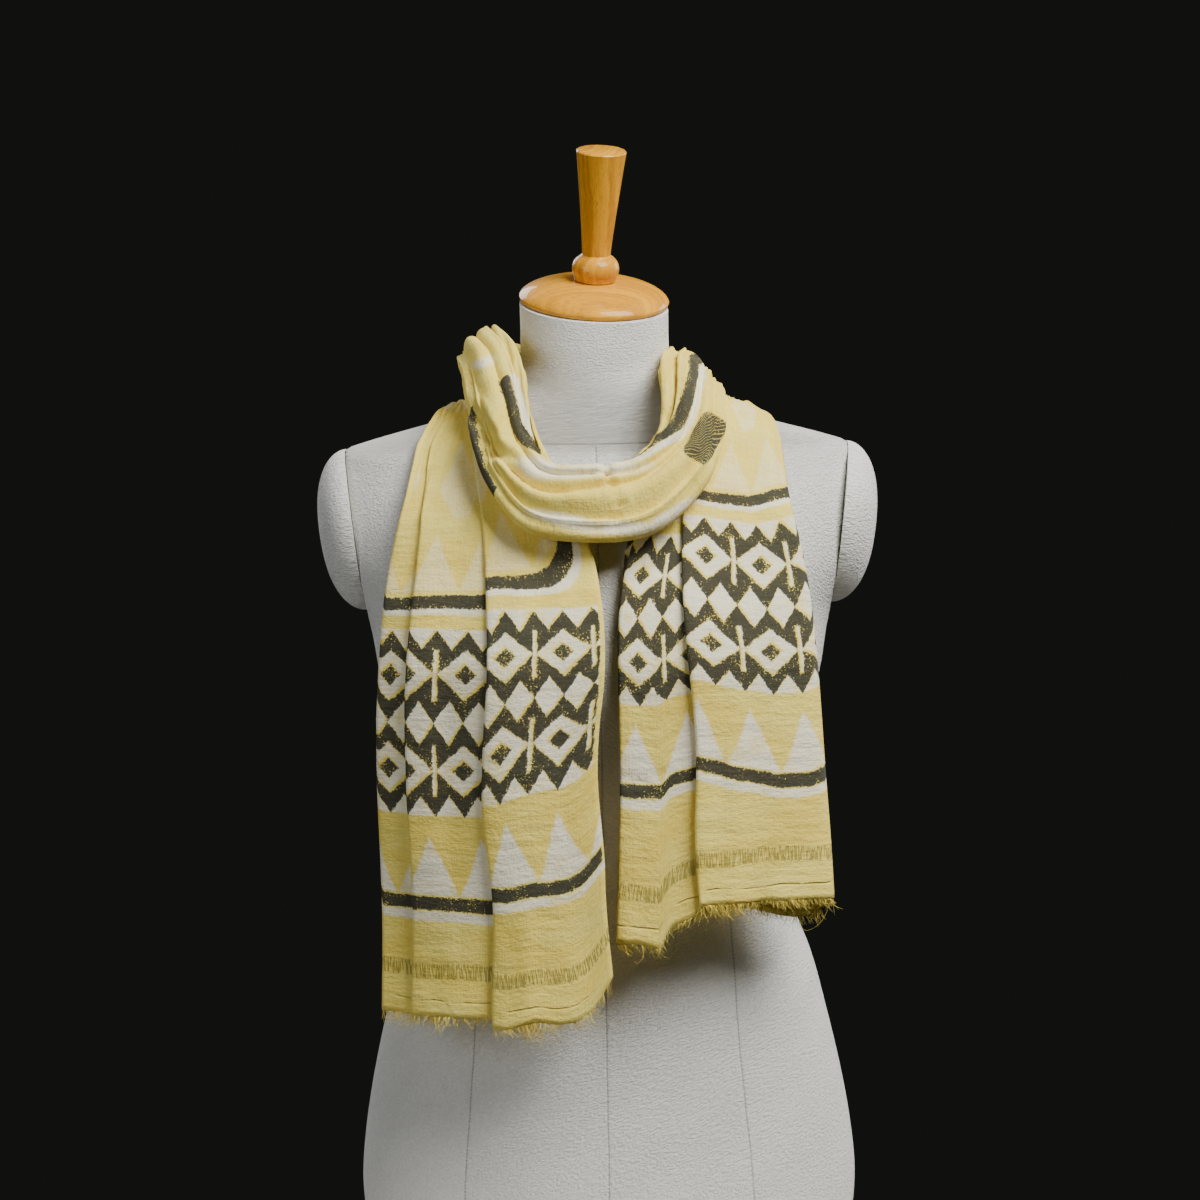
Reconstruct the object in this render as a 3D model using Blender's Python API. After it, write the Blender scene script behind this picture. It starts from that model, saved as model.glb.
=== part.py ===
"""A stole wound once round the neck of a limbless dress form that stands on its flat base.

Metres, +Z up. The front faces -Y, and +X is on the viewer's right. The origin is the middle of the
form's flat base. Tables are in millimetres and degrees, and MM turns them into metres.
"""

import math
from collections import namedtuple

import bpy
import numpy as np
from mathutils import Euler, Vector
from mathutils.bvhtree import BVHTree

MM = 0.001

# ---------------------------------------------------------------- the dress form's sizes

Level = namedtuple("Level", "name z half_width front back")
FORM_LEVELS = [
    Level("base edge", 0, 158, 97, 106),
    Level("base round", 12, 165, 101, 111),
    Level("low hip", 40, 172, 106, 118),
    Level("hip", 70, 175, 108, 122),
    Level("high hip", 109, 172, 107, 120),
    Level("seat", 145, 166, 105, 114),
    Level("belly", 190, 156, 102, 104),
    Level("under waist", 229, 146, 97, 94),
    Level("waist side", 262, 134, 92, 85),
    Level("waist", 297, 126, 89, 80),
    Level("ribs", 342, 131, 96, 82),
    Level("under bust", 388, 143, 113, 88),
    Level("bust", 432, 155, 127, 94),
    Level("armpit", 475, 164, 118, 98),
    Level("chest", 512, 184, 102, 99),
    Level("upper chest", 548, 192, 86, 97),
    Level("collar", 574, 188, 72, 92),
    Level("shoulder tip", 590, 178, 62, 86),
    Level("shoulder end", 597, 156, 58, 83),
    Level("shoulder", 604, 130, 55, 80),
    Level("shoulder slope", 611, 104, 52, 77),
    Level("shoulder root", 619, 80, 49, 73),
    Level("neck foot", 629, 62, 47, 67),
    Level("neck low", 642, 53.5, 46, 62),
    Level("neck", 664, 52, 46, 61),
    Level("neck top", 690, 52, 46, 62),
]
FORM_AROUND = 40
BUST_HOLLOW = 8 * MM
BUST_HOLLOW_HALF = 42 * MM
BUST_HEIGHT = 432 * MM
BUST_REACH = 62 * MM

ARMHOLE_TOP = (176 * MM, 592 * MM)
ARMHOLE_BOTTOM = (162 * MM, 476 * MM)
CUT_MARGIN = 8 * MM
SEAM_GAP = 0.4 * MM

CAP_HALF_HEIGHT = 57 * MM
CAP_HALF_DEPTH = 50 * MM
CAP_REACH = 26 * MM
CAP_ROUNDNESS = 2.5
CAP_RINGS = 6
CAP_AROUND = 28

NECK_CENTRE_Y = 8 * MM
NECK_TILT_FORWARD = 15
NECK_LEAN_SIDE = 3.9
NECK_TILT_FROM = 642 * MM
NECK_TOP_Z = 690 * MM

# ---------------------------------------------------------------- the turned wooden cap's sizes

DISC_RADIUS = 53 * MM
DISC_HEIGHT = 16 * MM
BALL_RADIUS = 16.6 * MM
BALL_HEIGHT = 19.5 * MM
HANDLE_LENGTH = 75 * MM
HANDLE_FOOT_RADIUS = 9.9 * MM
HANDLE_TOP_RADIUS = 17.6 * MM
TURNED_AROUND = 28

# ---------------------------------------------------------------- the stole's sizes

WALL = 1.0 * MM
LIE_GAP = 3.0 * MM
CLOTH_SPAN_RADIUS = 95 * MM
HANG_TOP = 585 * MM
HANG_BLEND = 70 * MM
HANG_STAGE = 3.0

# The stole is folded lengthwise into strips. Each strip has a heading, where 0 runs inwards from the
# stack's outer edge and 90 points away from the form; turn is the radius it bends on after it, points
# is how many steps cross it, drop is how much lower than the path its hem hangs, and widths are its
# width at each stage of the way. All but the headings and the points are in millimetres.
Strip = namedtuple("Strip", "name heading turn points drop widths")
# The left end's stages are its hem, chest, collar, shoulder and nape.
LEFT_STACK = [
    Strip("hidden back", 0, 2.0, 2, -8, (78, 74, 58, 36, 30)),
    Strip("back", 180, 2.0, 3, -4, (132, 126, 104, 50, 46)),
    Strip("outer strip", 0, 2.0, 2, 0, (36, 33, 28, 18, 18)),
    Strip("first underlap", 180, 2.0, 2, 2, (19, 18, 17, 11, 11)),
    Strip("middle strip", 0, 2.0, 3, 4, (72, 66, 51, 27, 24)),
    Strip("second underlap", 180, 2.0, 2, 4, (23, 23, 21, 11, 11)),
    Strip("inner strip", 0, 2.0, 3, 9, (79, 78, 63, 27, 25)),
]
# The right end's stages are its hem, chest, collar, shoulder and shoulder back, and then back along the
# loop its nape over, left side, left front, front, right front, right side and nape under.
RIGHT_STACK = [
    Strip("hidden back", 0, 2.0, 2, 8, (66, 62, 50, 30, 20, 28, 28, 34, 32, 28, 20, 18)),
    Strip("back", -180, 9.5, 2, 12, (128, 122, 98, 42, 26, 40, 40, 48, 44, 36, 26, 24)),
    Strip("outer panel", -360, 2.0, 12, 0, (86, 82, 69, 32, 19, 32, 36, 42, 44, 28, 18, 16)),
    Strip("underlap", -540, 2.0, 2, 10, (29, 28, 24, 13, 9, 13, 14, 14, 30, 12, 9, 8)),
    Strip("inner panel", -360, 2.0, 3, 26, (83, 79, 65, 26, 15, 23, 24, 26, 25, 22, 16, 15)),
    Strip("turned under", -540, 2.0, 2, 18, (36, 34, 28, 14, 9, 12, 12, 14, 18, 12, 9, 8)),
]
TURN_POINTS = 2

# Where the stack's outer edge lies on the form and the way inwards across the stack there. Stage is
# how far along the stack's stages the place is, and depth scales the stack's thickness.
Place = namedtuple("Place", "name x y z in_x in_y in_z stage depth")
LEFT_PATH = [
    Place("hem", -145, -132, 212, 1, 0, 0, 0.0, 1.00),
    Place("belly", -146, -132, 300, 1, 0, 0, 0.3, 1.00),
    Place("bust", -146, -130, 410, 1, 0, 0, 0.6, 0.95),
    Place("chest", -143, -112, 490, 1, 0, 0, 1.0, 0.85),
    Place("under collar", -137, -84, 550, 1, 0, 0.1, 1.6, 0.7),
    Place("collar", -129, -50, 588, 1, 0, 0.22, 2.2, 0.62),
    Place("shoulder", -110, -6, 611, 1, 0.1, 0.32, 3.0, 0.62),
    Place("shoulder back", -88, 46, 608, 0.8, 0.1, 0.65, 3.4, 0.66),
    Place("nape side", -54, 74, 604, 0.35, -0.25, 1, 3.8, 0.68),
    Place("nape", -0.6, 83, 604, 0, -0.35, 1, 4.0, 0.62),
]
LOOP_PATH = [
    Place("nape under", 0.6, 83, 610, 0, -0.35, 1, 11.0, 0.6),
    Place("nape right", 48, 67, 622, -0.3, -0.3, 1, 10.6, 0.65),
    Place("right side", 80, 16, 632, -0.6, -0.1, 0.72, 10.0, 0.7),
    Place("right front", 84, -46, 612, -0.8, -0.05, 0.55, 9.2, 0.8),
    Place("right collar", 70, -90, 560, -0.65, 0.25, 0.8, 8.7, 0.95),
    Place("front right", 38, -114, 531, -0.3, 0.4, 0.9, 8.2, 1.0),
    Place("front", 0, -120, 525, 0, 0.4, 0.95, 8.0, 1.0),
    Place("front left", -44, -112, 529, 0.35, 0.4, 0.9, 7.7, 1.0),
    Place("left collar", -71, -88, 560, 0.7, 0.2, 0.75, 7.3, 0.95),
    Place("left front", -82, -46, 606, 0.85, -0.05, 0.5, 7.0, 0.9),
    Place("left side", -82, 14, 627, 0.6, -0.05, 0.75, 6.2, 0.8),
    Place("nape left", -58, 80, 614, 0.3, -0.35, 1, 5.6, 0.7),
    Place("nape over", -6, 104, 608, 0, -0.35, 1, 5.2, 0.65),
    Place("nape end", 44, 96, 603, -0.2, -0.35, 1, 4.9, 0.65),
]
RIGHT_PATH = [
    Place("shoulder back", 94, 50, 600, -0.78, 0.05, 0.6, 4.0, 0.66),
    Place("shoulder", 114, -6, 607, -1, 0.1, 0.32, 3.0, 0.66),
    Place("collar", 127, -50, 588, -1, 0, 0.22, 2.2, 0.64),
    Place("under collar", 133, -84, 550, -1, 0, 0.1, 1.6, 0.7),
    Place("chest", 143, -112, 490, -1, 0, 0, 1.0, 0.85),
    Place("bust", 150, -130, 410, -1, 0, 0, 0.6, 0.95),
    Place("belly", 154, -132, 340, -1, 0, 0, 0.3, 1.00),
    Place("hem", 156, -132, 284, -1, 0, 0, 0.0, 1.00),
]
ROW_LENGTH = 38 * MM
ROW_TURN = 0.4
BODY_CLEAR = 1.7 * MM
FOLD_CLEAR = 2.8 * MM
REST_REACH = 45 * MM
REST_SPREAD = 34 * MM
FIRST_UNDER, TURNS_OVER, LAST_OVER = 10.35, 6.0, 4.1

# The soft ridges along the outer panel, from its outer edge inwards: where the crease that ends each
# one lies across the panel at three stages, and how high the ridge stands.
Ridge = namedtuple("Ridge", "name left front right left_height front_height right_height")
LOOP_RIDGES = [
    Ridge("outer", 0.34, 0.17, 0.30, 4.0, 3.0, 3.0),
    Ridge("broad", 0.72, 0.62, 0.55, 4.5, 4.5, 3.0),
    Ridge("narrow", 0.84, 0.76, 0.78, 1.5, 2.2, 3.0),
    Ridge("inner", 1.00, 1.00, 1.00, 2.5, 3.2, 2.0),
]
RIDGES_LEFT, RIDGES_FRONT, RIDGES_RIGHT = 7.0, 8.0, 9.0
RIDGES_FROM, RIDGES_TO = 4.2, 10.6


# ---------------------------------------------------------------- curves and meshes


def curve_through(knots, values, at):
    """Reads a smooth curve, drawn through values at knots, at each place in at."""
    knots, values, at = (np.asarray(q, float) for q in (knots, values, at))
    slopes = np.gradient(values, knots, axis=0)
    i = np.clip(np.searchsorted(knots, at, side="right") - 1, 0, len(knots) - 2)
    span = knots[i + 1] - knots[i]
    t = (at - knots[i]) / span
    if values.ndim > 1:
        span, t = span[:, None], t[:, None]
    rise, fall = t * t * (3 - 2 * t), t * (1 - t)
    low, high = values[i], values[i + 1]
    return low + rise * (high - low) + span * fall * ((1 - t) * slopes[i] - t * slopes[i + 1])


def unit(vectors):
    return vectors / np.linalg.norm(vectors, axis=-1, keepdims=True)


def material(name, colour, roughness, metallic=0.0):
    made = bpy.data.materials.new(name)
    made.use_nodes = True
    shader = made.node_tree.nodes["Principled BSDF"]
    shader.inputs["Base Color"].default_value = (*colour, 1)
    shader.inputs["Roughness"].default_value = roughness
    shader.inputs["Metallic"].default_value = metallic
    return made


def mesh_object(name, points, faces, finish, smooth_angle=50):
    mesh = bpy.data.meshes.new(name)
    mesh.from_pydata([tuple(p) for p in points], [], faces)
    mesh.validate()
    mesh.shade_smooth()
    mesh.set_sharp_from_angle(angle=math.radians(smooth_angle))
    made = bpy.data.objects.new(name, mesh)
    made.data.materials.append(finish)
    bpy.context.scene.collection.objects.link(made)
    return made


def ring_faces(rings, around):
    """The side faces between rings of around points each, and a face that closes each end."""
    faces = [tuple(reversed(range(around)))]
    for r in range(rings - 1):
        for i in range(around):
            j = (i + 1) % around
            low, high = r * around, (r + 1) * around
            faces.append((low + i, low + j, high + j, high + i))
    faces.append(tuple(range((rings - 1) * around, rings * around)))
    return faces


# ---------------------------------------------------------------- the dress form


def form_at(z):
    """The form's half width, front depth and back depth at each height."""
    knots = [level.z * MM for level in FORM_LEVELS]
    sizes = [(level.half_width * MM, level.front * MM, level.back * MM) for level in FORM_LEVELS]
    return curve_through(knots, sizes, np.atleast_1d(z)).T


def armhole_limit(z):
    """How far out the flat armhole lies at each height."""
    (top_x, top_z), (bottom_x, bottom_z) = ARMHOLE_TOP, ARMHOLE_BOTTOM
    return bottom_x + (top_x - bottom_x) * (z - bottom_z) / (top_z - bottom_z)


def bust_hollow(x, z):
    """The shallow dip down the middle of the bust."""
    across = np.exp(-((x / BUST_HOLLOW_HALF) ** 2))
    upright = np.exp(-(((z - BUST_HEIGHT) / BUST_REACH) ** 2))
    return BUST_HOLLOW * across * upright


def front_depth(x, z):
    """How far the form's front stands in front of the middle, at each place across and height."""
    half_width, front, _ = form_at(np.ravel(z))
    share = np.clip(1 - (np.ravel(x) / half_width) ** 2, 0, 1)
    return (front * np.sqrt(share) - bust_hollow(np.ravel(x), np.ravel(z))).reshape(np.shape(x))


def neck_tilt(x, y, z):
    """How far the neck's slanting top lifts a point of the neck."""
    share = np.clip((z - NECK_TILT_FROM) / (NECK_TOP_Z - NECK_TILT_FROM), 0, 1)
    forward = (y - NECK_CENTRE_Y) * math.tan(math.radians(NECK_TILT_FORWARD))
    side = x * math.tan(math.radians(NECK_LEAN_SIDE))
    return share * (forward - side)


def form_ring(z):
    """One level ring of the form, cut flat at the armholes."""
    half_width, front, back = (size[0] for size in form_at(z))
    angles = np.linspace(0, 2 * math.pi, FORM_AROUND, endpoint=False)
    x, y = half_width * np.cos(angles), np.sin(angles)
    y = np.where(y < 0, y * front, y * back)
    y = np.where(y < 0, y + bust_hollow(x, z), y)
    if ARMHOLE_BOTTOM[1] - CUT_MARGIN < z < ARMHOLE_TOP[1] + CUT_MARGIN:
        limit = armhole_limit(z)
        x = np.clip(x, -limit, limit)
    return np.stack([x, y, z + neck_tilt(x, y, z)], axis=1)


def build_form(finish):
    rings = [form_ring(level.z * MM) for level in FORM_LEVELS]
    return mesh_object(
        "form_body", np.concatenate(rings), ring_faces(len(rings), FORM_AROUND), finish
    )


def build_cap(side, name, finish):
    """A padded cap over one armhole, domed outwards from its flat face."""
    (top_x, top_z), (bottom_x, bottom_z) = ARMHOLE_TOP, ARMHOLE_BOTTOM
    top, bottom = Vector((top_x, 0, top_z)), Vector((bottom_x, 0, bottom_z))
    up = (top - bottom).normalized()
    out = Vector((up.z, 0, -up.x))
    centre = (top + bottom) / 2 + out * SEAM_GAP
    angles = np.linspace(0, 2 * math.pi, CAP_AROUND, endpoint=False)
    points = []
    for ring in range(CAP_RINGS):
        turn = math.pi / 2 * ring / (CAP_RINGS - 0.4)
        reach = CAP_REACH * math.sin(turn)
        share = math.cos(turn) ** (2 / CAP_ROUNDNESS)
        for angle in angles:
            across = CAP_HALF_DEPTH * share * math.cos(angle)
            along = CAP_HALF_HEIGHT * share * math.sin(angle)
            point = centre + out * reach + up * along + Vector((0, across, 0))
            points.append((side * point.x, point.y, point.z))
    faces = ring_faces(CAP_RINGS, CAP_AROUND)
    if side < 0:
        faces = [tuple(reversed(face)) for face in faces]
    return mesh_object(name, points, faces, finish)


# ---------------------------------------------------------------- the turned wooden cap


def turned(name, profile, finish, parent):
    """A solid turned from a profile of (radius, height) points, from its foot to its top."""
    angles = np.linspace(0, 2 * math.pi, TURNED_AROUND, endpoint=False)
    points = [(r * math.cos(a), r * math.sin(a), h) for r, h in profile for a in angles]
    made = mesh_object(name, points, ring_faces(len(profile), TURNED_AROUND), finish, smooth_angle=40)
    made.parent = parent
    return made


def build_wooden_cap(finish):
    """The neck's disc and its finial, on an empty that stands square on the neck's slanting top."""
    seat = bpy.data.objects.new("neck_seat", None)
    bpy.context.scene.collection.objects.link(seat)
    seat.rotation_euler = Euler((math.radians(NECK_TILT_FORWARD), math.radians(NECK_LEAN_SIDE), 0))
    seat.location = (0, NECK_CENTRE_Y, NECK_TOP_Z)
    seat.location += seat.rotation_euler.to_matrix() @ Vector((0, 0, SEAM_GAP))

    shoulder = [math.radians(a) for a in range(10, 90, 14)]
    dome = [
        (DISC_RADIUS * math.cos(a) ** 0.75, DISC_HEIGHT * (0.12 + 0.88 * math.sin(a) ** 1.15))
        for a in shoulder
    ]
    rim = [(DISC_RADIUS * 0.975, 0), (DISC_RADIUS, 0.06 * DISC_HEIGHT)]
    turned("neck_disc", [*rim, *dome], finish, seat)

    foot = DISC_HEIGHT + SEAM_GAP
    ball = [(BALL_RADIUS * 0.88, foot)]
    for degrees in (-26, -8, 10, 28, 44, 56):
        a = math.radians(degrees)
        ball.append((BALL_RADIUS * math.cos(a) ** 0.8, foot + BALL_HEIGHT * (0.42 + 0.58 * math.sin(a))))
    neck = ball[-1][1]
    grow = HANDLE_TOP_RADIUS - HANDLE_FOOT_RADIUS
    shares = (0.015, 0.25, 0.5, 0.75, 0.985)
    flare = [(HANDLE_FOOT_RADIUS + grow * share**1.15, neck + HANDLE_LENGTH * share) for share in shares]
    end = (HANDLE_TOP_RADIUS * 0.955, neck + HANDLE_LENGTH)
    turned("finial", [*ball, *flare, end], finish, seat)


# ---------------------------------------------------------------- the stole


def stage_value(values, stage):
    """Reads a row of values given at stages 0, 1, 2 ... at each stage asked for."""
    return curve_through(range(len(values)), values, np.clip(stage, 0, len(values) - 1))


def ridge_height(share, stage):
    """How far the soft ridges lift the outer panel, at each share of the way across it."""
    stages = (RIDGES_LEFT, RIDGES_FRONT, RIDGES_RIGHT)
    edge = np.zeros(len(stage))
    lift = np.zeros(len(stage))
    for ridge in LOOP_RIDGES:
        end = np.interp(stage, stages, (ridge.left, ridge.front, ridge.right))
        heights = (ridge.left_height, ridge.front_height, ridge.right_height)
        height = np.interp(stage, stages, heights) * MM
        t = np.clip((share - edge) / (end - edge), 0, 1)
        lift += height * np.sqrt(np.sin(math.pi * t).clip(0))
        edge = end
    fade = np.clip(stage - RIDGES_FROM, 0, 1) * np.clip(RIDGES_TO - stage, 0, 1)
    return lift * fade


def folded_rows(stack, stage, depth_scale, ridged=None):
    """Walks the folded stack at every row: each point's place inwards from the edge and its depth."""
    place = np.zeros((len(stage), 2))
    columns = [place]
    for strip, following in zip(stack, [*stack[1:], None]):
        heading = math.radians(strip.heading)
        width = stage_value(strip.widths, stage)[:, None] * MM
        start = place
        for i in range(strip.points):
            share = (i + 1) / strip.points
            place = start + width * share * np.array([math.cos(heading), math.sin(heading)])
            lifted = place.copy()
            if strip.name == ridged:
                lifted[:, 1] += ridge_height(share, stage)
            columns.append(lifted)
        if following is None:
            break
        turn = math.radians(following.heading) - heading
        chord = 2 * strip.turn * MM * math.sin(abs(turn) / TURN_POINTS / 2)
        for i in range(TURN_POINTS):
            facing = heading + turn * (i + 0.5) / TURN_POINTS
            place = place + chord * np.array([math.cos(facing), math.sin(facing)])
            columns.append(place)
    section = np.stack(columns, axis=1)
    inwards, depth = section[..., 0], section[..., 1]
    inwards = inwards - inwards.min(axis=1, keepdims=True)
    depth = (depth - depth.min(axis=1, keepdims=True)) * depth_scale[:, None]
    return inwards, depth


def path_knots(path):
    """The places along a path, and how far along it each one is."""
    places = np.array([(q.x, q.y, q.z) for q in path]) * MM
    return places, np.concatenate([[0], np.cumsum(np.linalg.norm(np.diff(places, axis=0), axis=1))])


def path_rows(path, rows):
    """Along a path: its edge points, the ways inwards and out there, its stage and its depth."""
    places, knots = path_knots(path)
    edge = curve_through(knots, places, rows)
    ahead = curve_through(knots, places, np.minimum(rows + MM, knots[-1]))
    behind = curve_through(knots, places, np.maximum(rows - MM, 0))
    inwards = unit(curve_through(knots, np.array([(q.in_x, q.in_y, q.in_z) for q in path], float), rows))
    out = unit(np.cross(inwards, ahead - behind))
    stage = curve_through(knots, [q.stage for q in path], rows)
    depth = curve_through(knots, [q.depth for q in path], rows)
    return edge, inwards, out, stage, depth


def spaced_rows(path, start, end):
    """Rows along part of a path, closer together where the path bends or twists."""
    fine = np.linspace(start, end, 400)
    edge, inwards, out, _, _ = path_rows(path, fine)
    length = np.linalg.norm(np.diff(edge, axis=0), axis=1)
    turn = np.linalg.norm(np.diff(inwards, axis=0), axis=1) + np.linalg.norm(np.diff(out, axis=0), axis=1)
    cost = np.concatenate([[0], np.cumsum(length / ROW_LENGTH + turn / ROW_TURN)])
    return np.interp(np.linspace(0, cost[-1], round(cost[-1]) + 1), cost, fine)


def hang_table():
    """How far forward cloth hangs: over the highest ground above it, bridging hollows as cloth does."""
    x = np.linspace(-200 * MM, 200 * MM, 81)
    z = np.linspace(HANG_TOP, 100 * MM, 98)
    grid_x, grid_z = np.meshgrid(x, z)
    ground = np.maximum.accumulate(front_depth(grid_x, grid_z), axis=0)
    sag = (x[:, None] - x[None, :]) ** 2 / (2 * CLOTH_SPAN_RADIUS)
    bridged = (ground[:, None, :] - sag[None, :, :]).max(axis=2)
    return x, z[::-1], bridged[::-1]


def read_table(table, x, z):
    """Reads a table of rows z by columns x between its entries."""
    xs, zs, values = table
    i = np.clip((x - xs[0]) / (xs[1] - xs[0]), 0, len(xs) - 1.001)
    j = np.clip((z - zs[0]) / (zs[1] - zs[0]), 0, len(zs) - 1.001)
    i0, j0 = i.astype(int), j.astype(int)
    a, b = i - i0, j - j0
    low = values[j0, i0] * (1 - a) + values[j0, i0 + 1] * a
    high = values[j0 + 1, i0] * (1 - a) + values[j0 + 1, i0 + 1] * a
    return low * (1 - b) + high * b


def hem_drops(stack):
    """How much lower than the path each point across the stack hangs at the hem."""
    middles, drops, column = [], [], 0
    for strip in stack:
        middles.append(column + strip.points / 2)
        drops.append(strip.drop * MM)
        column += strip.points + TURN_POINTS
    return np.interp(np.arange(column - TURN_POINTS + 1), middles, drops)


def stole_grid(stack, path, rows, hang, ridged=None):
    """The stole's surface over one stretch, rows by points across its stack, and the ways out."""
    edge, inwards, out, stage, depth_scale = path_rows(path, rows)
    across, depth = folded_rows(stack, stage, depth_scale, ridged)
    grid = edge[:, None] + inwards[:, None] * across[..., None] + out[:, None] * depth[..., None]
    grid[..., 2] -= hem_drops(stack) * np.clip(1 - stage, 0, 1)[:, None]
    low = np.clip((HANG_TOP - 10 * MM - grid[..., 2]) / HANG_BLEND, 0, 1)
    low = low * low * (3 - 2 * low) * np.clip(HANG_STAGE - stage, 0, 1)[:, None]
    hung = -(read_table(hang, grid[..., 0], grid[..., 2]) + LIE_GAP + depth)
    grid[..., 1] = grid[..., 1] * (1 - low) + hung * low
    return grid, out, stage


def tree_of(grid):
    """A tree of the faces of a grid of surface points."""
    rows, columns = grid.shape[:2]
    corners = [r * columns + c for r in range(rows - 1) for c in range(columns - 1)]
    faces = [(at, at + columns, at + columns + 1, at + 1) for at in corners]
    return BVHTree.FromPolygons([Vector(p) for p in grid.reshape(-1, 3)], faces)


def tree_of_solids(objects):
    """One tree of the faces of some solids."""
    points, faces = [], []
    for solid in objects:
        first = len(points)
        points += [vertex.co.copy() for vertex in solid.data.vertices]
        faces += [tuple(first + i for i in face.vertices) for face in solid.data.polygons]
    return BVHTree.FromPolygons(points, faces)


def lift_over(grounds, grid, out, chosen):
    """How far each chosen row has to move outwards to lie clear of the grounds under it."""
    lift = np.zeros(len(grid))
    for row in np.flatnonzero(chosen):
        way = out[row]
        for point in grid[row]:
            above = Vector(point + way * REST_REACH)
            for tree, clear in grounds:
                far = tree.ray_cast(above, Vector(-way), REST_REACH + clear)[3]
                if far is not None:
                    lift[row] = max(lift[row], REST_REACH + clear - far)
    return lift


def lifted(grid, out, rows, lift):
    """Moves each row outwards, easing the rows beside a lifted one."""
    nearness = np.exp(-(((rows[:, None] - rows[None, :]) / REST_SPREAD) ** 2))
    eased = (nearness * lift[None, :]).max(axis=1)
    return grid + (eased[:, None] * out)[:, None, :]


def wall_object(name, grid, finish):
    """A closed cloth wall round a grid of surface points."""
    rows, columns = grid.shape[:2]
    normal = unit(np.cross(np.gradient(grid, axis=0), np.gradient(grid, axis=1)))
    skins = [(grid + side * normal * WALL / 2).reshape(-1, 3) for side in (1, -1)]
    size = rows * columns
    faces = []
    for r in range(rows - 1):
        for c in range(columns - 1):
            a = r * columns + c
            b, d = a + columns, a + 1
            e = b + 1
            faces += [(a, b, e), (a, e, d)]
            faces += [(size + a, size + e, size + b), (size + a, size + d, size + e)]
    rim = [(r, 0) for r in range(rows)] + [(rows - 1, c) for c in range(1, columns)]
    rim += [(r, columns - 1) for r in range(rows - 2, -1, -1)]
    rim += [(0, c) for c in range(columns - 2, 0, -1)]
    for (r0, c0), (r1, c1) in zip(rim, [*rim[1:], rim[0]]):
        a, b = r0 * columns + c0, r1 * columns + c1
        faces.append((b, a, size + a, size + b))
    return mesh_object(name, np.concatenate(skins), faces, finish, smooth_angle=80)


def build_stole(form, finish):
    hang = hang_table()
    form_tree = tree_of_solids(form)
    body = (form_tree, BODY_CLEAR)

    rows = spaced_rows(LEFT_PATH, 0, path_knots(LEFT_PATH)[1][-1])
    grid, out, stage = stole_grid(LEFT_STACK, LEFT_PATH, rows, hang)
    left_fall = lifted(grid, out, rows, lift_over([(form_tree, FOLD_CLEAR)], grid, out, stage >= 0))
    wall_object("stole_left_fall", left_fall, finish)
    under = [body, (tree_of(left_fall), FOLD_CLEAR)]

    path = [*LOOP_PATH, *RIGHT_PATH]
    along = path_knots(path)[1]
    parting = along[len(LOOP_PATH) - 1]
    loop_rows = spaced_rows(path, 0, parting - SEAM_GAP)
    rows = np.concatenate([loop_rows, spaced_rows(path, parting + SEAM_GAP, along[-1])])
    grid, out, stage = stole_grid(RIGHT_STACK, path, rows, hang, "outer panel")
    first, last = stage > FIRST_UNDER, stage < LAST_OVER
    lift = lift_over(under, grid, out, first) + lift_over([body], grid, out, last)
    laid = lifted(grid, out, rows, lift)
    over_last = [*under, (tree_of(laid[last]), FOLD_CLEAR)]
    over_first = [*under, (tree_of(laid[first]), FOLD_CLEAR)]
    lift = np.maximum(lift, lift_over(over_last, grid, out, ~first & (stage > TURNS_OVER)))
    lift = np.maximum(lift, lift_over(over_first, grid, out, ~last & (stage <= TURNS_OVER)))
    strand = lifted(grid, out, rows, lift)
    wall_object("stole_loop", strand[: len(loop_rows)], finish)
    wall_object("stole_right_fall", strand[len(loop_rows) :], finish)


def main():
    for old in list(bpy.data.objects):
        bpy.data.objects.remove(old)
    linen = material("linen cover", (0.76, 0.74, 0.69), 0.85)
    wood = material("varnished wood", (0.58, 0.33, 0.10), 0.3)
    gauze = material("printed gauze", (0.80, 0.68, 0.36), 0.9)
    body = build_form(linen)
    left_cap = build_cap(-1, "form_shoulder_cap_left", linen)
    right_cap = build_cap(1, "form_shoulder_cap_right", linen)
    build_wooden_cap(wood)
    build_stole([body, left_cap, right_cap], gauze)


main()
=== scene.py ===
"""Looks for a block-printed gauze stole worn on a limbless dress form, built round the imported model.

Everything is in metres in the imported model's own frame: +Z up, the front faces -Y and +X is on the
viewer's right. Tables are in millimetres and degrees, and MM turns them into metres.
"""

import math
from collections import namedtuple

import bpy
import numpy as np
from mathutils import Euler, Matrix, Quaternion, Vector
from mathutils.bvhtree import BVHTree


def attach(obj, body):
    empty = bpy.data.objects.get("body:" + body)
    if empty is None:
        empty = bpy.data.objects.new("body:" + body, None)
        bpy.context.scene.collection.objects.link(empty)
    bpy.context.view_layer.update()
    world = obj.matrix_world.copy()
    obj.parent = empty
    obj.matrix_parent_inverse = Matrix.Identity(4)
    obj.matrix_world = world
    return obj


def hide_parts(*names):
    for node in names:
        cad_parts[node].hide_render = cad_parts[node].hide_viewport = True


bl_info = {
    "name": "Stole on a dress form",
    "version": (1, 0, 0),
    "blender": (4, 5, 0),
    "location": "View3D > Sidebar > Stole",
    "description": "Builds a printed gauze stole worn on a limbless dress form",
    "category": "Object",
}

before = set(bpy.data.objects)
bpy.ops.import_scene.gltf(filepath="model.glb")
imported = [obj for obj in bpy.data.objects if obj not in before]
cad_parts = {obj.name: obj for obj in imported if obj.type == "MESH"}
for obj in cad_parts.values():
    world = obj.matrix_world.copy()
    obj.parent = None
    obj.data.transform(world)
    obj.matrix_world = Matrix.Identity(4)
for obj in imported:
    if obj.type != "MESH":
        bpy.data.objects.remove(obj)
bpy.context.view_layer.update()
MM = 0.001

# ---------------------------------------------------------------- the dress form's sizes

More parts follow.
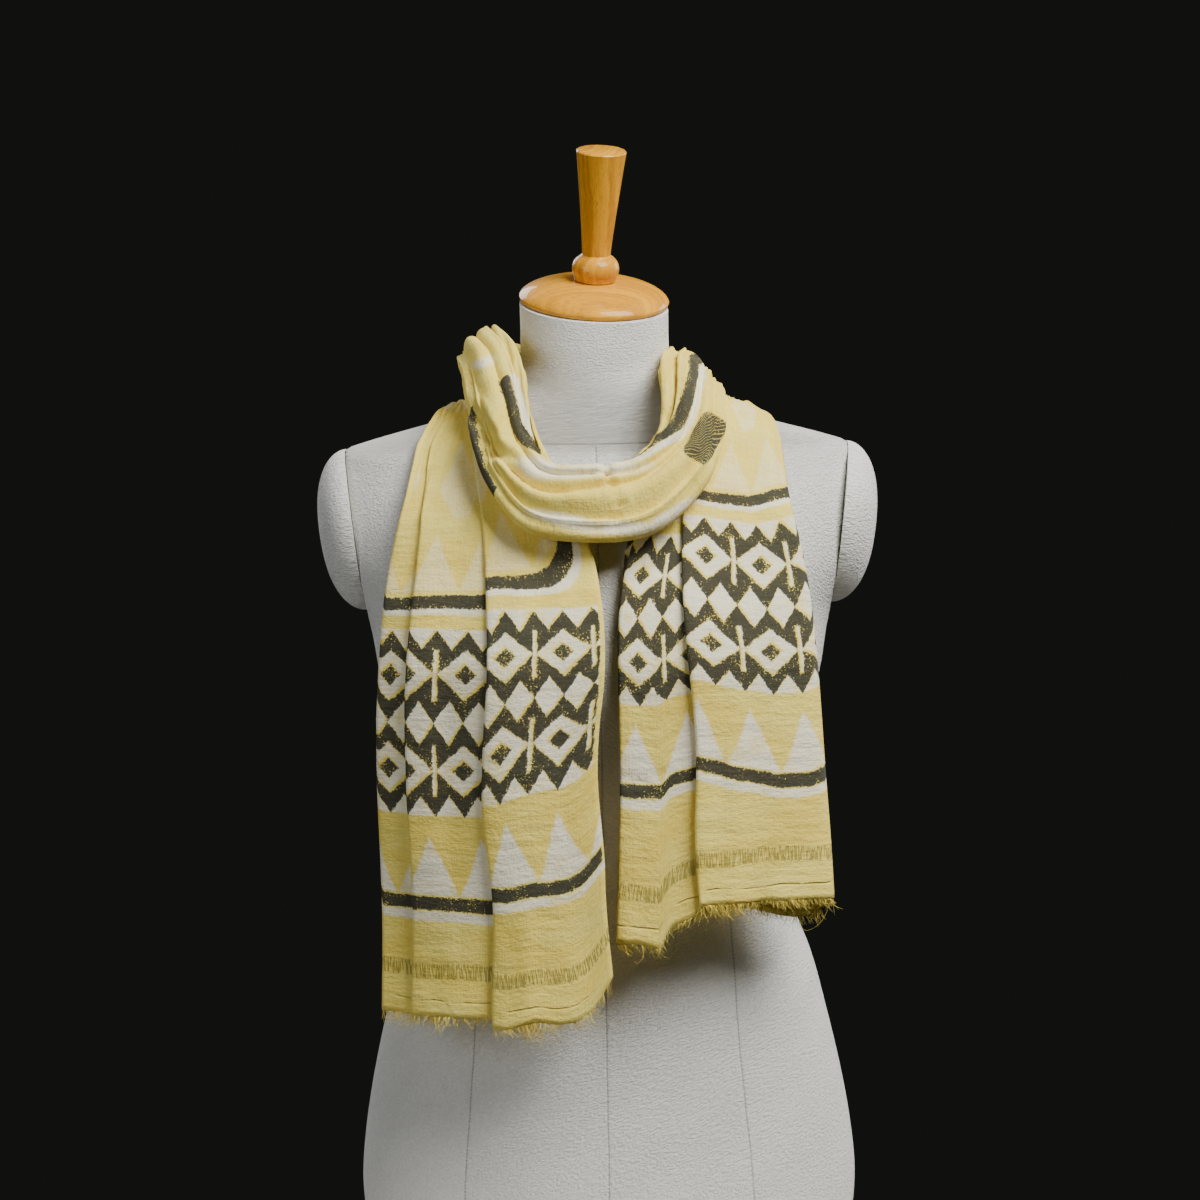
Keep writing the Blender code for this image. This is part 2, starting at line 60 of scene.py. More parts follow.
Level = namedtuple("Level", "z half_width front back")
FORM_LEVELS = [
    Level(0, 158, 97, 106),
    Level(12, 165, 101, 111),
    Level(40, 172, 106, 118),
    Level(70, 175, 108, 122),
    Level(109, 172, 107, 120),
    Level(145, 166, 105, 114),
    Level(190, 156, 102, 104),
    Level(229, 146, 97, 94),
    Level(262, 134, 92, 85),
    Level(297, 126, 89, 80),
    Level(342, 131, 96, 82),
    Level(388, 143, 113, 88),
    Level(432, 155, 127, 94),
    Level(475, 164, 118, 98),
    Level(512, 184, 102, 99),
    Level(548, 192, 86, 97),
    Level(574, 188, 72, 92),
    Level(590, 178, 62, 86),
    Level(597, 156, 58, 83),
    Level(604, 130, 55, 80),
    Level(611, 104, 52, 77),
    Level(619, 80, 49, 73),
    Level(629, 62, 47, 67),
    Level(642, 53.5, 46, 62),
    Level(664, 52, 46, 61),
    Level(690, 52, 46, 62),
]
FORM_AROUND = 288
FORM_ROW = 2.8 * MM
BUST_HOLLOW = 8 * MM
BUST_HOLLOW_HALF = 42 * MM
BUST_HEIGHT = 432 * MM
BUST_REACH = 62 * MM

ARMHOLE_TOP = (176 * MM, 592 * MM)
ARMHOLE_BOTTOM = (162 * MM, 476 * MM)
CUT_MARGIN = 8 * MM
SEAM_GAP = 0.4 * MM

CAP_HALF_HEIGHT = 57 * MM
CAP_HALF_DEPTH = 50 * MM
CAP_REACH = 26 * MM
CAP_ROUNDNESS = 2.5
CAP_RINGS = 40
CAP_OPEN_RING = 0.4
CAP_AROUND = 160

NECK_CENTRE_Y = 8 * MM
NECK_TILT_FORWARD = 15
NECK_LEAN_SIDE = 3.9
NECK_TILT_FROM = 642 * MM
NECK_TOP_Z = 690 * MM

PRINCESS_SEAM = [(0, 104), (88, 99), (182, 91), (262, 87), (340, 82), (432, 78), (520, 84), (600, 96)]
NECK_SEAM_FRONT_Z = 594 * MM
NECK_SEAM_SLOPE = 0.33
NECK_SEAM_FRONT_Y = -57 * MM

DISC_RADIUS = 53 * MM
DISC_HEIGHT = 16 * MM
BALL_RADIUS = 16.6 * MM
BALL_HEIGHT = 19.5 * MM
HANDLE_LENGTH = 75 * MM
HANDLE_FOOT_RADIUS = 9.9 * MM
HANDLE_TOP_RADIUS = 17.6 * MM
TURNED_AROUND = 128

# ---------------------------------------------------------------- the stole's sizes

# How the ends hang over the form's front: how near they lie, what hollows they bridge, and the height
# and stage under which they hang free.
LIE_GAP = 3.0 * MM
CLOTH_SPAN_RADIUS = 95 * MM
HANG_TOP = 585 * MM
HANG_BLEND = 70 * MM
HANG_STAGE = 3.0
HANG_MARGIN = 10 * MM
HANG_TABLE_HALF = 200 * MM
HANG_TABLE_LOW = 100 * MM
HANG_TABLE_SIZE = (81, 98)

# The stole is folded lengthwise into strips. Each strip has a heading, where 0 runs inwards from the
# stack's outer edge and 90 points away from the form; turn is the radius it bends on after it, drop is
# how much lower than the path its hem hangs, bulge is how far its middle stands out, and widths are its
# width at each stage of the way.
Strip = namedtuple("Strip", "name heading turn drop bulge widths")
LEFT_STACK = [
    Strip("hidden back", 0, 2.0, -8, 0.0, (78, 74, 58, 36, 30)),
    Strip("back", 180, 2.0, -4, 0.0, (132, 126, 104, 50, 46)),
    Strip("outer strip", 0, 2.0, 0, 0.6, (36, 33, 28, 18, 18)),
    Strip("first underlap", 180, 2.0, 2, 0.0, (19, 18, 17, 11, 11)),
    Strip("middle strip", 0, 2.0, 4, 1.2, (72, 66, 51, 27, 24)),
    Strip("second underlap", 180, 2.0, 6, 0.0, (23, 23, 21, 11, 11)),
    Strip("inner strip", 0, 2.0, 9, 1.6, (79, 78, 63, 27, 25)),
]
RIGHT_STACK = [
    Strip("hidden back", 0, 2.0, 8, 0.0, (66, 62, 50, 30, 20, 28, 28, 34, 32, 28, 20, 18)),
    Strip("back", -180, 9.5, 12, 0.0, (128, 122, 98, 42, 26, 40, 40, 48, 44, 36, 26, 24)),
    Strip("outer panel", -360, 2.0, 0, 0.8, (86, 82, 69, 32, 19, 32, 36, 42, 44, 28, 18, 16)),
    Strip("underlap", -540, 2.0, 10, 0.0, (29, 28, 24, 13, 9, 13, 14, 14, 30, 12, 9, 8)),
    Strip("inner panel", -360, 2.0, 26, 0.6, (83, 79, 65, 26, 15, 23, 24, 26, 25, 22, 16, 15)),
    Strip("turned under", -540, 2.0, 18, 0.0, (36, 34, 28, 14, 9, 12, 12, 14, 18, 12, 9, 8)),
]
# The dressed cloth's own widths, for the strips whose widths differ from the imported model's.
LEFT_DRESSED = {
    "hidden back": (69, 66, 46, 36, 30),
    "back": (132, 124, 80, 46, 44),
    "outer strip": (40, 38, 29, 18, 18),
    "middle strip": (77, 74, 54, 27, 24),
    "inner strip": (79, 73, 44, 26, 25),
}
RIGHT_DRESSED = {
    "hidden back": (66, 60, 28, 24, 30, 24, 20, 26, 32, 30, 22, 18),
    "back": (128, 118, 62, 38, 38, 30, 25, 32, 44, 38, 28, 24),
    "outer panel": (78, 75, 54, 30, 19, 27, 23, 28, 42, 32, 24, 18),
    "underlap": (29, 28, 18, 12, 9, 13, 14, 14, 30, 12, 9, 8),
    "inner panel": (85, 70, 26, 20, 15, 19, 18, 20, 24, 22, 16, 15),
    "turned under": (36, 32, 18, 12, 9, 12, 12, 14, 18, 12, 9, 8),
}
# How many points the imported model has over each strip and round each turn, and how many the dressed
# cloth has round each turn.
CAD_POINTS = {
    "hidden back": 2, "back": 3, "outer strip": 2, "first underlap": 2, "middle strip": 3,
    "second underlap": 2, "inner strip": 3, "outer panel": 12, "underlap": 2, "inner panel": 3,
    "turned under": 2,
}
CAD_TURN_POINTS = 2
TURN_POINTS = 6

Place = namedtuple("Place", "name x y z in_x in_y in_z stage depth")
LEFT_PATH = [
    Place("hem", -145, -132, 212, 1, 0, 0, 0.0, 1.00),
    Place("belly", -146, -132, 300, 1, 0, 0, 0.3, 1.00),
    Place("bust", -146, -130, 410, 1, 0, 0, 0.6, 0.95),
    Place("chest", -143, -112, 490, 1, 0, 0, 1.0, 0.85),
    Place("under collar", -137, -84, 550, 1, 0, 0.1, 1.6, 0.7),
    Place("collar", -129, -50, 588, 1, 0, 0.22, 2.2, 0.62),
    Place("shoulder", -110, -6, 611, 1, 0.1, 0.32, 3.0, 0.62),
    Place("shoulder back", -88, 46, 608, 0.8, 0.1, 0.65, 3.4, 0.66),
    Place("nape side", -54, 74, 604, 0.35, -0.25, 1, 3.8, 0.68),
    Place("nape", -0.6, 83, 604, 0, -0.35, 1, 4.0, 0.62),
]
LOOP_PATH = [
    Place("nape under", 0.6, 83, 610, 0, -0.35, 1, 11.0, 0.6),
    Place("nape right", 48, 67, 622, -0.3, -0.3, 1, 10.6, 0.65),
    Place("right side", 80, 16, 632, -0.6, -0.1, 0.72, 10.0, 0.7),
    Place("right front", 84, -46, 612, -0.8, -0.05, 0.55, 9.2, 0.8),
    Place("right collar", 70, -90, 560, -0.65, 0.25, 0.8, 8.7, 0.95),
    Place("front right", 38, -114, 531, -0.3, 0.4, 0.9, 8.2, 1.0),
    Place("front", 0, -120, 525, 0, 0.4, 0.95, 8.0, 1.0),
    Place("front left", -44, -112, 529, 0.35, 0.4, 0.9, 7.7, 1.0),
    Place("left collar", -71, -88, 560, 0.7, 0.2, 0.75, 7.3, 0.95),
    Place("left front", -82, -46, 606, 0.85, -0.05, 0.5, 7.0, 0.9),
    Place("left side", -82, 14, 627, 0.6, -0.05, 0.75, 6.2, 0.8),
    Place("nape left", -58, 80, 614, 0.3, -0.35, 1, 5.6, 0.7),
    Place("nape over", -6, 104, 608, 0, -0.35, 1, 5.2, 0.65),
    Place("nape end", 44, 96, 603, -0.2, -0.35, 1, 4.9, 0.65),
]
RIGHT_PATH = [
    Place("shoulder back", 94, 50, 600, -0.78, 0.05, 0.6, 4.0, 0.66),
    Place("shoulder", 114, -6, 607, -1, 0.1, 0.32, 3.0, 0.66),
    Place("collar", 127, -50, 588, -1, 0, 0.22, 2.2, 0.64),
    Place("under collar", 133, -84, 550, -1, 0, 0.1, 1.6, 0.7),
    Place("chest", 143, -112, 490, -1, 0, 0, 1.0, 0.85),
    Place("bust", 150, -130, 410, -1, 0, 0, 0.6, 0.95),
    Place("belly", 154, -132, 340, -1, 0, 0, 0.3, 1.00),
    Place("hem", 156, -132, 284, -1, 0, 0, 0.0, 1.00),
]
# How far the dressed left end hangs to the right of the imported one, by height, and the stage it ends at.
LEFT_SHIFT = [(212, -7), (300, -7), (410, -6), (490, -2), (560, 3), (590, 6), (620, 9), (660, 9)]
LEFT_SHIFT_TO = 3.6
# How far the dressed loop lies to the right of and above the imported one, by stage.
LOOP_SHIFT = [
    (4.2, 0, 0), (5.2, 0, 0), (5.6, 1, 4), (6.2, 4, 6), (6.8, 6, 4), (7.1, 4, 0), (7.3, 2, 0),
    (7.7, 0, 0), (8.1, 0, 0), (8.6, 1, 0), (9.0, -1, -3), (9.5, -11, -12), (10.2, -7, -15),
    (10.7, 0, -5), (11.0, 0, 0),
]
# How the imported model's rows are spaced and lifted clear of what they lie on, and the stages that part
# the loop's start, its front, its back and its end.
ROW_LENGTH = 38 * MM
ROW_TURN = 0.4
ROW_STEPS = 400
BODY_CLEAR = 1.7 * MM
FOLD_CLEAR = 2.8 * MM
REST_REACH = 45 * MM
REST_SPREAD = 34 * MM
FIRST_UNDER, TURNS_OVER, LAST_OVER = 10.35, 6.0, 4.1

Ridge = namedtuple("Ridge", "name left front right left_height front_height right_height")
LOOP_RIDGES = [
    Ridge("outer", 0.34, 0.17, 0.30, 4.0, 3.0, 3.0),
    Ridge("broad", 0.72, 0.62, 0.55, 4.5, 4.5, 3.0),
    Ridge("narrow", 0.84, 0.76, 0.78, 1.5, 2.2, 3.0),
    Ridge("inner", 1.00, 1.00, 1.00, 2.5, 3.2, 2.0),
]
RIDGES_LEFT, RIDGES_FRONT, RIDGES_RIGHT = 7.0, 8.0, 9.0
RIDGES_FROM, RIDGES_TO = 4.2, 10.6

# The loop's soft folds, from its lower edge to its upper one: each ends at a share of the way across the
# outer panel and stands out by a height, at the stages given.
Fold = namedtuple("Fold", "name skew ends heights")
FOLD_STAGES = (5.2, 6.2, 7.0, 7.35, 7.7, 8.0, 8.5, 9.2, 10.0)
LOOP_FOLDS = [
    Fold("bottom", 1.3, (0, 0, 0.01, 0.05, 0.08, 0.07, 0.08, 0.05, 0), (0, 0, 0, 1, 1.4, 1.4, 1.4, 0.8, 0)),
    Fold(
        "broad", 1.9, (0, 0, 0.05, 0.27, 0.47, 0.60, 0.58, 0.45, 0.1),
        (0, 0, 0.5, 3.6, 5.8, 6.6, 5, 2.6, 0.5),
    ),
    Fold(
        "second", 1.5, (0.60, 0.64, 0.68, 0.74, 0.80, 0.83, 0.72, 0.52, 0.2),
        (5, 6.5, 6, 5, 4.4, 4, 2, 1, 0.5),
    ),
    Fold("top", 1.2, (1.0,) * 9, (1.5, 1.5, 2.0, 3.0, 3.6, 4.2, 3.2, 2.6, 2.4)),
]
FOLD_SINK = 2.0 * MM
SINK_START, SINK_FULL = 0.04, 0.10
LEAST_FOLD = 0.02
FOLD_ROUND, BULGE_ROUND = 0.6, 0.7
# How much of its height over the form each hanging end keeps at the shoulder, by stage.
HUG_KEEP = [(1.2, 1.0), (2.0, 0.55), (3.8, 0.5), (4.5, 1.0)]
HUG_LAYER = 1.5 * MM
HUG_REACH = 0.05
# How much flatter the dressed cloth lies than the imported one, by stage.
LEFT_FLAT = [(1.0, 1.0), (2.0, 0.7), (3.0, 0.55), (3.6, 0.7), (4.0, 1.0)]
RIGHT_FLAT = [
    (0.8, 1.0), (1.6, 0.75), (2.2, 0.6), (3.0, 0.48), (4.0, 0.55), (4.8, 0.9), (5.2, 1.0), (6.2, 0.72),
    (7.1, 0.78), (7.8, 1.0),
]
# What is stored where the loop has no marks of its own: a stripe 1 m away, and outside every shape.
NO_STRIPE, NO_SHAPE = 1.0, -1.0
NO_LOOP = (NO_STRIPE, NO_SHAPE, NO_SHAPE)
# Where the lengthwise stripe's middle runs beside the loop's upper edge: positive is past the edge,
# towards the neck. Left of the front the cloth's own edge lies towards the neck, and right of it away.
STRIPE_LEFT = [(3.2, -6), (5.2, -7), (6.2, -8), (7.0, -7), (7.4, -2), (7.7, 12)]
STRIPE_RIGHT = [(7.7, 14), (8.0, 8), (8.4, 4), (8.7, -2), (9.2, -9), (10.0, -11), (11.0, -11)]
STRIPE_SIDE = 7.75
# The stages between which the stripe is left out, and those between which a short one runs along the
# outer turned edge, spreading either way from its share of the turn.
STRIPE_BROKEN_FROM, STRIPE_BROKEN_TO = 5.7, 7.06
OUTER_STRIPE_FROM, OUTER_STRIPE_TO, OUTER_STRIPE_TURN = 7.08, 7.44, 0.64
OUTER_STRIPE_SPREAD = 19
# How near the cloth's edge the loop's marks may come, how far from it they end, how far up the print
# plain cloth is read, and the stages from which the outer panel and the strips inside it are plain.
SELVEDGE = 11.0
PLAIN_AT = 33.0
PLAIN_ALONG = 336.0
PLAIN_FROM_STAGE = 4.6
INNER_PLAIN_FROM_STAGE = 1.9
# Pale shapes and the hatched block printed on the loop's front, seen from the front: middle x and z, half
# length and height, and how many degrees the long way is turned up to the right.
PALE_SHAPES = [
    (-38, 580, 15, 7, -12), (-6, 577, 42, 4.6, 3), (-24, 546, 24, 4, -12), (16, 539, 34, 4.6, -2),
    (47, 546, 24, 4, 30), (-76, 650, 9, 3.5, 20),
]
HATCHED_BLOCK = (74, 597, 16.5, 10, 58)
OVAL_SQUARENESS, BLOCK_SQUARENESS = 2.6, 6

# How the printed cloth hangs at its hems, across the cut cloth: pairs of distance across and how much
# lower than the path the hem hangs there.
HEM_LEFT = [
    (0, -6), (140, -2), (213, 1), (234, 2), (253, 2), (300, 2), (340, 3), (362, 4), (391, 6), (405, 8),
    (425, 3), (440, 3), (452, 2), (462, -4), (470, -16), (477, -28),
]
HEM_RIGHT = [
    (0, 2), (66, 2), (110, 3), (150, 5), (184, 15), (198, 13), (207, 3), (232, 0), (262, -2), (308, 0),
    (330, 4), (350, -3), (374, 2), (392, 10), (401, 14), (408, 29), (430, 25), (441, 22), (462, 6), (477, 8),
]
# How much lower than even the print hangs, across the cut cloth, at four heights above the hem.
PRINT_HEIGHTS = (89, 177, 237, 286)
PRINT_LOWER_LEFT = [
    (0, (0, 0, 0, 0)), (207, (0, 0, 0, 0)), (213, (12.5, 11, 8.5, 11)), (362, (12.5, 11, 8.5, 11)),
    (397, (1.4, 0, -3, 0)), (440, (-1, -9, -6, 0)), (476, (-4, -13, -8.5, 0)),
]
PRINT_LOWER_RIGHT = [
    (0, (0, 0, 0, 0)), (207, (0, 0, 0, 0)), (232, (6.7, 11, 12, 8)), (256, (7.1, 12.3, 13.3, 17)),
    (285, (0.5, 5, 8, 17)), (297, (-4, 1, 5, 17)), (308, (-8, -1, 3, 17)), (345, (-5, 8.5, 20, 26)),
    (385, (-4.5, 8.5, 20, 26)), (425, (-3.7, 8.5, 20, 26)), (480, (-3.7, 8.5, 20, 26)),
]
# How far the print is shifted over the cut cloth.
PRINT_ACROSS_LEFT = [(0, 0), (253, 0), (285, 18.5), (362, 18.5), (398, 14.5), (477, 14.5)]
PRINT_ACROSS_RIGHT = [(0, 8), (308, 8), (345, 1), (480, 1)]
LEFT_FRAME_SHIFT = 9 * MM

# ---------------------------------------------------------------- how fine and how uneven the cloth is

POINT_SPACING = 3.4 * MM
HIDDEN_SPACING = 6.0 * MM
PANEL_SPACING = 2.2 * MM
ROW_SPACING = 3.8 * MM
CLOTH_THICKNESS = 0.5 * MM
COVER_CLEAR = 0.9 * MM
COVER_REACH = 0.03

# How far each kind of unevenness reaches, and over what lengths it changes.
WIDTH_WANDER = 0.05
WIDTH_WANDER_LENGTH = 75 * MM
RIDGE_WANDER = 0.035
RIDGE_WANDER_LENGTH = 45 * MM
RUMPLE = 1.5 * MM
RUMPLE_ACROSS = 13 * MM
RUMPLE_ALONG = 85 * MM
HEM_CURL = 2.4 * MM
HEM_CURL_ACROSS = 15 * MM
HEM_CURL_REACH = 30 * MM
HEM_WANDER = 1.8 * MM
HEM_WANDER_ACROSS = 21 * MM
HEM_CURL_MIDDLE = 0.4
HEM_STAGE_LENGTH = 280 * MM
FOLD_SWAY = 6.0 * MM
FOLD_ACROSS = 34 * MM
FOLD_ALONG = 190 * MM
SWAY_GROWS = 110 * MM
SWAY_ENDS, SWAY_FULL = 1.8, 1.0
SIDE_SWAY = 2.2 * MM
SIDE_ALONG = 95 * MM
SIDE_ACROSS = 140 * MM
GATHER_HEIGHT = 3.9 * MM
GATHER_ACROSS = 5.6 * MM
GATHER_ALONG = 60 * MM
GATHERS_FROM, GATHERS_FULL = 1.0, 2.8
GATHER_DRIFT = 0.9
GATHER_DRIFT_ACROSS = 22 * MM
GATHER_SHARES = {
    "hidden back": 1.1, "back": 1.1, "outer panel": 0.0, "underlap": 0.25, "inner panel": 0.12,
    "turned under": 0.2, "outer strip": 0.15, "middle strip": 0.15,
    "inner strip": 0.15, "first underlap": 0.4, "second underlap": 0.4,
}
WRINKLE_HEIGHT = 0.35 * MM
WRINKLE_ACROSS = 9 * MM
WRINKLE_ALONG = 14 * MM
# Each kind of unevenness reads the noise at a level of its own. Folds, strips and wrinkles step through it.
GATHER_LEVEL, SWAY_LEVEL, SIDE_LEVEL, RUMPLE_LEVEL, CURL_LEVEL, HEM_LEVEL = 2.5, 5.5, 9.5, 15.5, 21.5, 25.5
FOLD_STEP, WIDTH_LEVEL, WRINKLE_STEP = 3.7, 11.3, 0.7

# Creases pressed into the loop's front, seen from the front: x and z of each end, width and depth.
Crease = namedtuple("Crease", "x z x2 z2 width depth")
LOOP_CREASES = [
    Crease(-95, 624, -82, 615, 5, 3.5), Crease(-82, 615, -74, 601, 5, 5.0),
    Crease(-74, 601, -71, 591, 5, 4.5), Crease(-71, 591, -56, 588, 4, 3.0),
    Crease(4, 584, 8, 570, 2.6, 3.6), Crease(11, 588, 6, 578, 2.6, 3.0),
    Crease(11, 567, 15, 555, 2.2, 1.9), Crease(15, 555, 11, 542, 2.2, 1.9),
]
FALL_CREASES = [Crease(12, 371, 28, 370, 2.2, 2.0), Crease(28, 370, 44, 374, 2.2, 1.4)]
# The raised rim beside a crease: its share of the depth, where it is and how sharp, in crease widths.
RIM_SHARE, RIM_AT, RIM_SHARPNESS = 0.3, 1.8, 1.6
# Only cloth in front of this is creased and marked.
CREASE_FRONT = -30 * MM

# ---------------------------------------------------------------- curves, noise and meshes


def curve_through(knots, values, at):
    """Reads a smooth curve, drawn through values at knots, at each place in at."""
    knots, values, at = (np.asarray(q, float) for q in (knots, values, at))
    slopes = np.gradient(values, knots, axis=0)
    i = np.clip(np.searchsorted(knots, at, side="right") - 1, 0, len(knots) - 2)
    span = knots[i + 1] - knots[i]
    t = (at - knots[i]) / span
    if values.ndim > 1:
        span, t = span[:, None], t[:, None]
    rise, fall = t * t * (3 - 2 * t), t * (1 - t)
    low, high = values[i], values[i + 1]
    return low + rise * (high - low) + span * fall * ((1 - t) * slopes[i] - t * slopes[i + 1])


def unit(vectors):
    return vectors / np.maximum(np.linalg.norm(vectors, axis=-1, keepdims=True), 1e-12)


def smooth_step(value, low, high):
    t = np.clip((value - low) / (high - low), 0, 1)
    return t * t * (3 - 2 * t)


class Wander:
    """Smooth repeatable noise from -1 to 1, from seeded values on a lattice."""

    SIZE = 64

    def __init__(self, seed):
        self.values = np.random.default_rng(seed).uniform(-1, 1, (self.SIZE,) * 3)

    def at(self, x, y=0.0, z=0.0):
        x, y, z = np.broadcast_arrays(*(np.asarray(q, float) for q in (x, y, z)))
        floor = [np.floor(q).astype(int) for q in (x, y, z)]
        part = [q - f for q, f in zip((x, y, z), floor)]
        part = [p * p * (3 - 2 * p) for p in part]
        total = np.zeros(x.shape)
        for corner in range(8):
            steps = [(corner >> axis) & 1 for axis in range(3)]
            share = np.ones(x.shape)
            for p, step in zip(part, steps):
                share = share * (p if step else 1 - p)
            i, j, k = ((f + step) % self.SIZE for f, step in zip(floor, steps))
            total += share * self.values[i, j, k]
        return total


def mesh_piece(name, points, faces, finish, smooth_angle=None):
    """A new mesh object of the object's own, shaded smooth, with one finish."""
    mesh = bpy.data.meshes.new(name)
    mesh.from_pydata(np.asarray(points).tolist(), [], faces)
    mesh.validate()
    mesh.shade_smooth()
    if smooth_angle:
        mesh.set_sharp_from_angle(angle=math.radians(smooth_angle))
    mesh.materials.append(finish)
    made = bpy.data.objects.new(name, mesh)
    bpy.context.scene.collection.objects.link(made)
    return made


def mark(piece, name, vectors):
    """Stores a vector at each point of a piece, for its finish to read."""
    store = piece.data.attributes.new(name, "FLOAT_VECTOR", "POINT")
    store.data.foreach_set("vector", np.asarray(vectors, np.float32).ravel())


def ring_faces(rings, around):
    """The side faces between rings of around points each, and a face that closes each end."""
    faces = [tuple(reversed(range(around)))]
    for r in range(rings - 1):
        low, high = r * around, (r + 1) * around
        for i in range(around):
            j = (i + 1) % around
            faces.append((low + i, low + j, high + j, high + i))
    faces.append(tuple(range((rings - 1) * around, rings * around)))
    return faces


def tree_of_faces(points, faces):
    return BVHTree.FromPolygons([Vector(p) for p in points], faces)


def cad_points_and_faces(names):
    """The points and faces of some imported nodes, as one list of each."""
    points, faces = [], []
    for name in names:
        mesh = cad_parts[name].data
        first = len(points)
        points += [tuple(vertex.co) for vertex in mesh.vertices]
        faces += [tuple(first + i for i in face.vertices) for face in mesh.polygons]
    return points, faces


# ---------------------------------------------------------------- the dress form


def form_at(z):
    """The form's half width, front depth and back depth at each height."""
    knots = [level.z * MM for level in FORM_LEVELS]
    sizes = [(level.half_width * MM, level.front * MM, level.back * MM) for level in FORM_LEVELS]
    return curve_through(knots, sizes, np.atleast_1d(z)).T


def armhole_limit(z):
    """How far out the flat armhole lies at each height."""
    (top_x, top_z), (bottom_x, bottom_z) = ARMHOLE_TOP, ARMHOLE_BOTTOM
    return bottom_x + (top_x - bottom_x) * (z - bottom_z) / (top_z - bottom_z)


def bust_hollow(x, z):
    """The shallow dip down the middle of the bust."""
    across = np.exp(-((x / BUST_HOLLOW_HALF) ** 2))
    upright = np.exp(-(((z - BUST_HEIGHT) / BUST_REACH) ** 2))
    return BUST_HOLLOW * across * upright


def front_depth(x, z):
    """How far the form's front stands in front of the middle, at each place across and height."""
    half_width, front, _ = form_at(np.ravel(z))
    share = np.clip(1 - (np.ravel(x) / half_width) ** 2, 0, 1)
    return (front * np.sqrt(share) - bust_hollow(np.ravel(x), np.ravel(z))).reshape(np.shape(x))


def neck_tilt(x, y, z):
    """How far the neck's slanting top lifts a point of the neck."""
    share = np.clip((z - NECK_TILT_FROM) / (NECK_TOP_Z - NECK_TILT_FROM), 0, 1)
    forward = (y - NECK_CENTRE_Y) * math.tan(math.radians(NECK_TILT_FORWARD))
    side = x * math.tan(math.radians(NECK_LEAN_SIDE))
    return share * (forward - side)


def form_ring(z):
    """One level ring of the form, cut flat at the armholes, and its points' distances from its seams."""
    half_width, front, back = (size[0] for size in form_at(z))
    angles = np.linspace(0, 2 * math.pi, FORM_AROUND, endpoint=False)
    x, y = half_width * np.cos(angles), np.sin(angles)
    y = np.where(y < 0, y * front, y * back)
    y = np.where(y < 0, y + bust_hollow(x, z), y)
    if ARMHOLE_BOTTOM[1] - CUT_MARGIN < z < ARMHOLE_TOP[1] + CUT_MARGIN:
        limit = armhole_limit(z)
        x = np.clip(x, -limit, limit)
    points = np.stack([x, y, z + neck_tilt(x, y, z)], axis=1)
    seam_z, seam_x = np.array(PRINCESS_SEAM).T * MM
    princess = np.abs(x) - np.interp(z, seam_z, seam_x)
    neck_seam = z - (NECK_SEAM_FRONT_Z + NECK_SEAM_SLOPE * (y - NECK_SEAM_FRONT_Y))
    seams = np.stack([x, princess, neck_seam], axis=1)
    length = np.concatenate([[0], np.cumsum(np.linalg.norm(np.diff(points, axis=0), axis=1))])
    weave = np.stack([length, np.full(len(x), z), y], axis=1)
    return points, seams, weave


def build_form_cover(finish):
    """The linen-covered torso and neck, as one closed smooth body with its seam distances marked."""
    heights = np.array([level.z * MM for level in FORM_LEVELS])
    rows = np.concatenate([
        np.linspace(low, high, max(2, round((high - low) / FORM_ROW)), endpoint=False)
        for low, high in zip(heights, heights[1:])
    ] + [heights[-1:]])
    rings = [form_ring(z) for z in rows]
    points, seams, weave = (np.concatenate([ring[i] for ring in rings]) for i in range(3))
    piece = mesh_piece("form_cover", points, ring_faces(len(rows), FORM_AROUND), finish, smooth_angle=50)
    mark(piece, "seams", seams)
    mark(piece, "weave", weave)
    return piece


def build_shoulder_cap(side, name, finish):
    """A padded cap over one armhole, domed outwards from its flat face."""
    (top_x, top_z), (bottom_x, bottom_z) = ARMHOLE_TOP, ARMHOLE_BOTTOM
    top, bottom = np.array([top_x, 0, top_z]), np.array([bottom_x, 0, bottom_z])
    up = unit(top - bottom)
    out = np.array([up[2], 0, -up[0]])
    centre = (top + bottom) / 2 + out * SEAM_GAP
    angles = np.linspace(0, 2 * math.pi, CAP_AROUND, endpoint=False)
    points, weave = [], []
    for ring in range(CAP_RINGS):
        turn = math.pi / 2 * ring / (CAP_RINGS - CAP_OPEN_RING)
        share = math.cos(turn) ** (2 / CAP_ROUNDNESS)
        for angle in angles:
            across = CAP_HALF_DEPTH * share * math.cos(angle)
            along = CAP_HALF_HEIGHT * share * math.sin(angle)
            x, y, z = centre + out * CAP_REACH * math.sin(turn) + up * along + np.array([0, across, 0])
            points.append((side * x, y, z))
            weave.append((across, along, CAP_REACH * math.sin(turn)))
    faces = ring_faces(CAP_RINGS, CAP_AROUND)
    if side < 0:
        faces = [tuple(reversed(face)) for face in faces]
    piece = mesh_piece(name, points, faces, finish, smooth_angle=50)
    no_seams = np.ones((len(points), 3))
    mark(piece, "seams", no_seams)
    mark(piece, "weave", weave)
    return piece


# ---------------------------------------------------------------- the turned wooden cap


def build_turned(name, profile, finish, seat, grain):
    """A solid turned from a profile of (radius, height) points and set on the seat."""
    angles = np.linspace(0, 2 * math.pi, TURNED_AROUND, endpoint=False)
    radii, heights = np.array(profile).T
    local = np.stack([
        np.outer(radii, np.cos(angles)),
        np.outer(radii, np.sin(angles)),
        np.repeat(heights[:, None], TURNED_AROUND, axis=1),
    ], axis=-1).reshape(-1, 3)
    rotation, place = seat
    points = local @ np.array(rotation).T + np.array(place)
    piece = mesh_piece(name, points, ring_faces(len(profile), TURNED_AROUND), finish, smooth_angle=35)
    mark(piece, "grain", local[:, grain])
    return piece


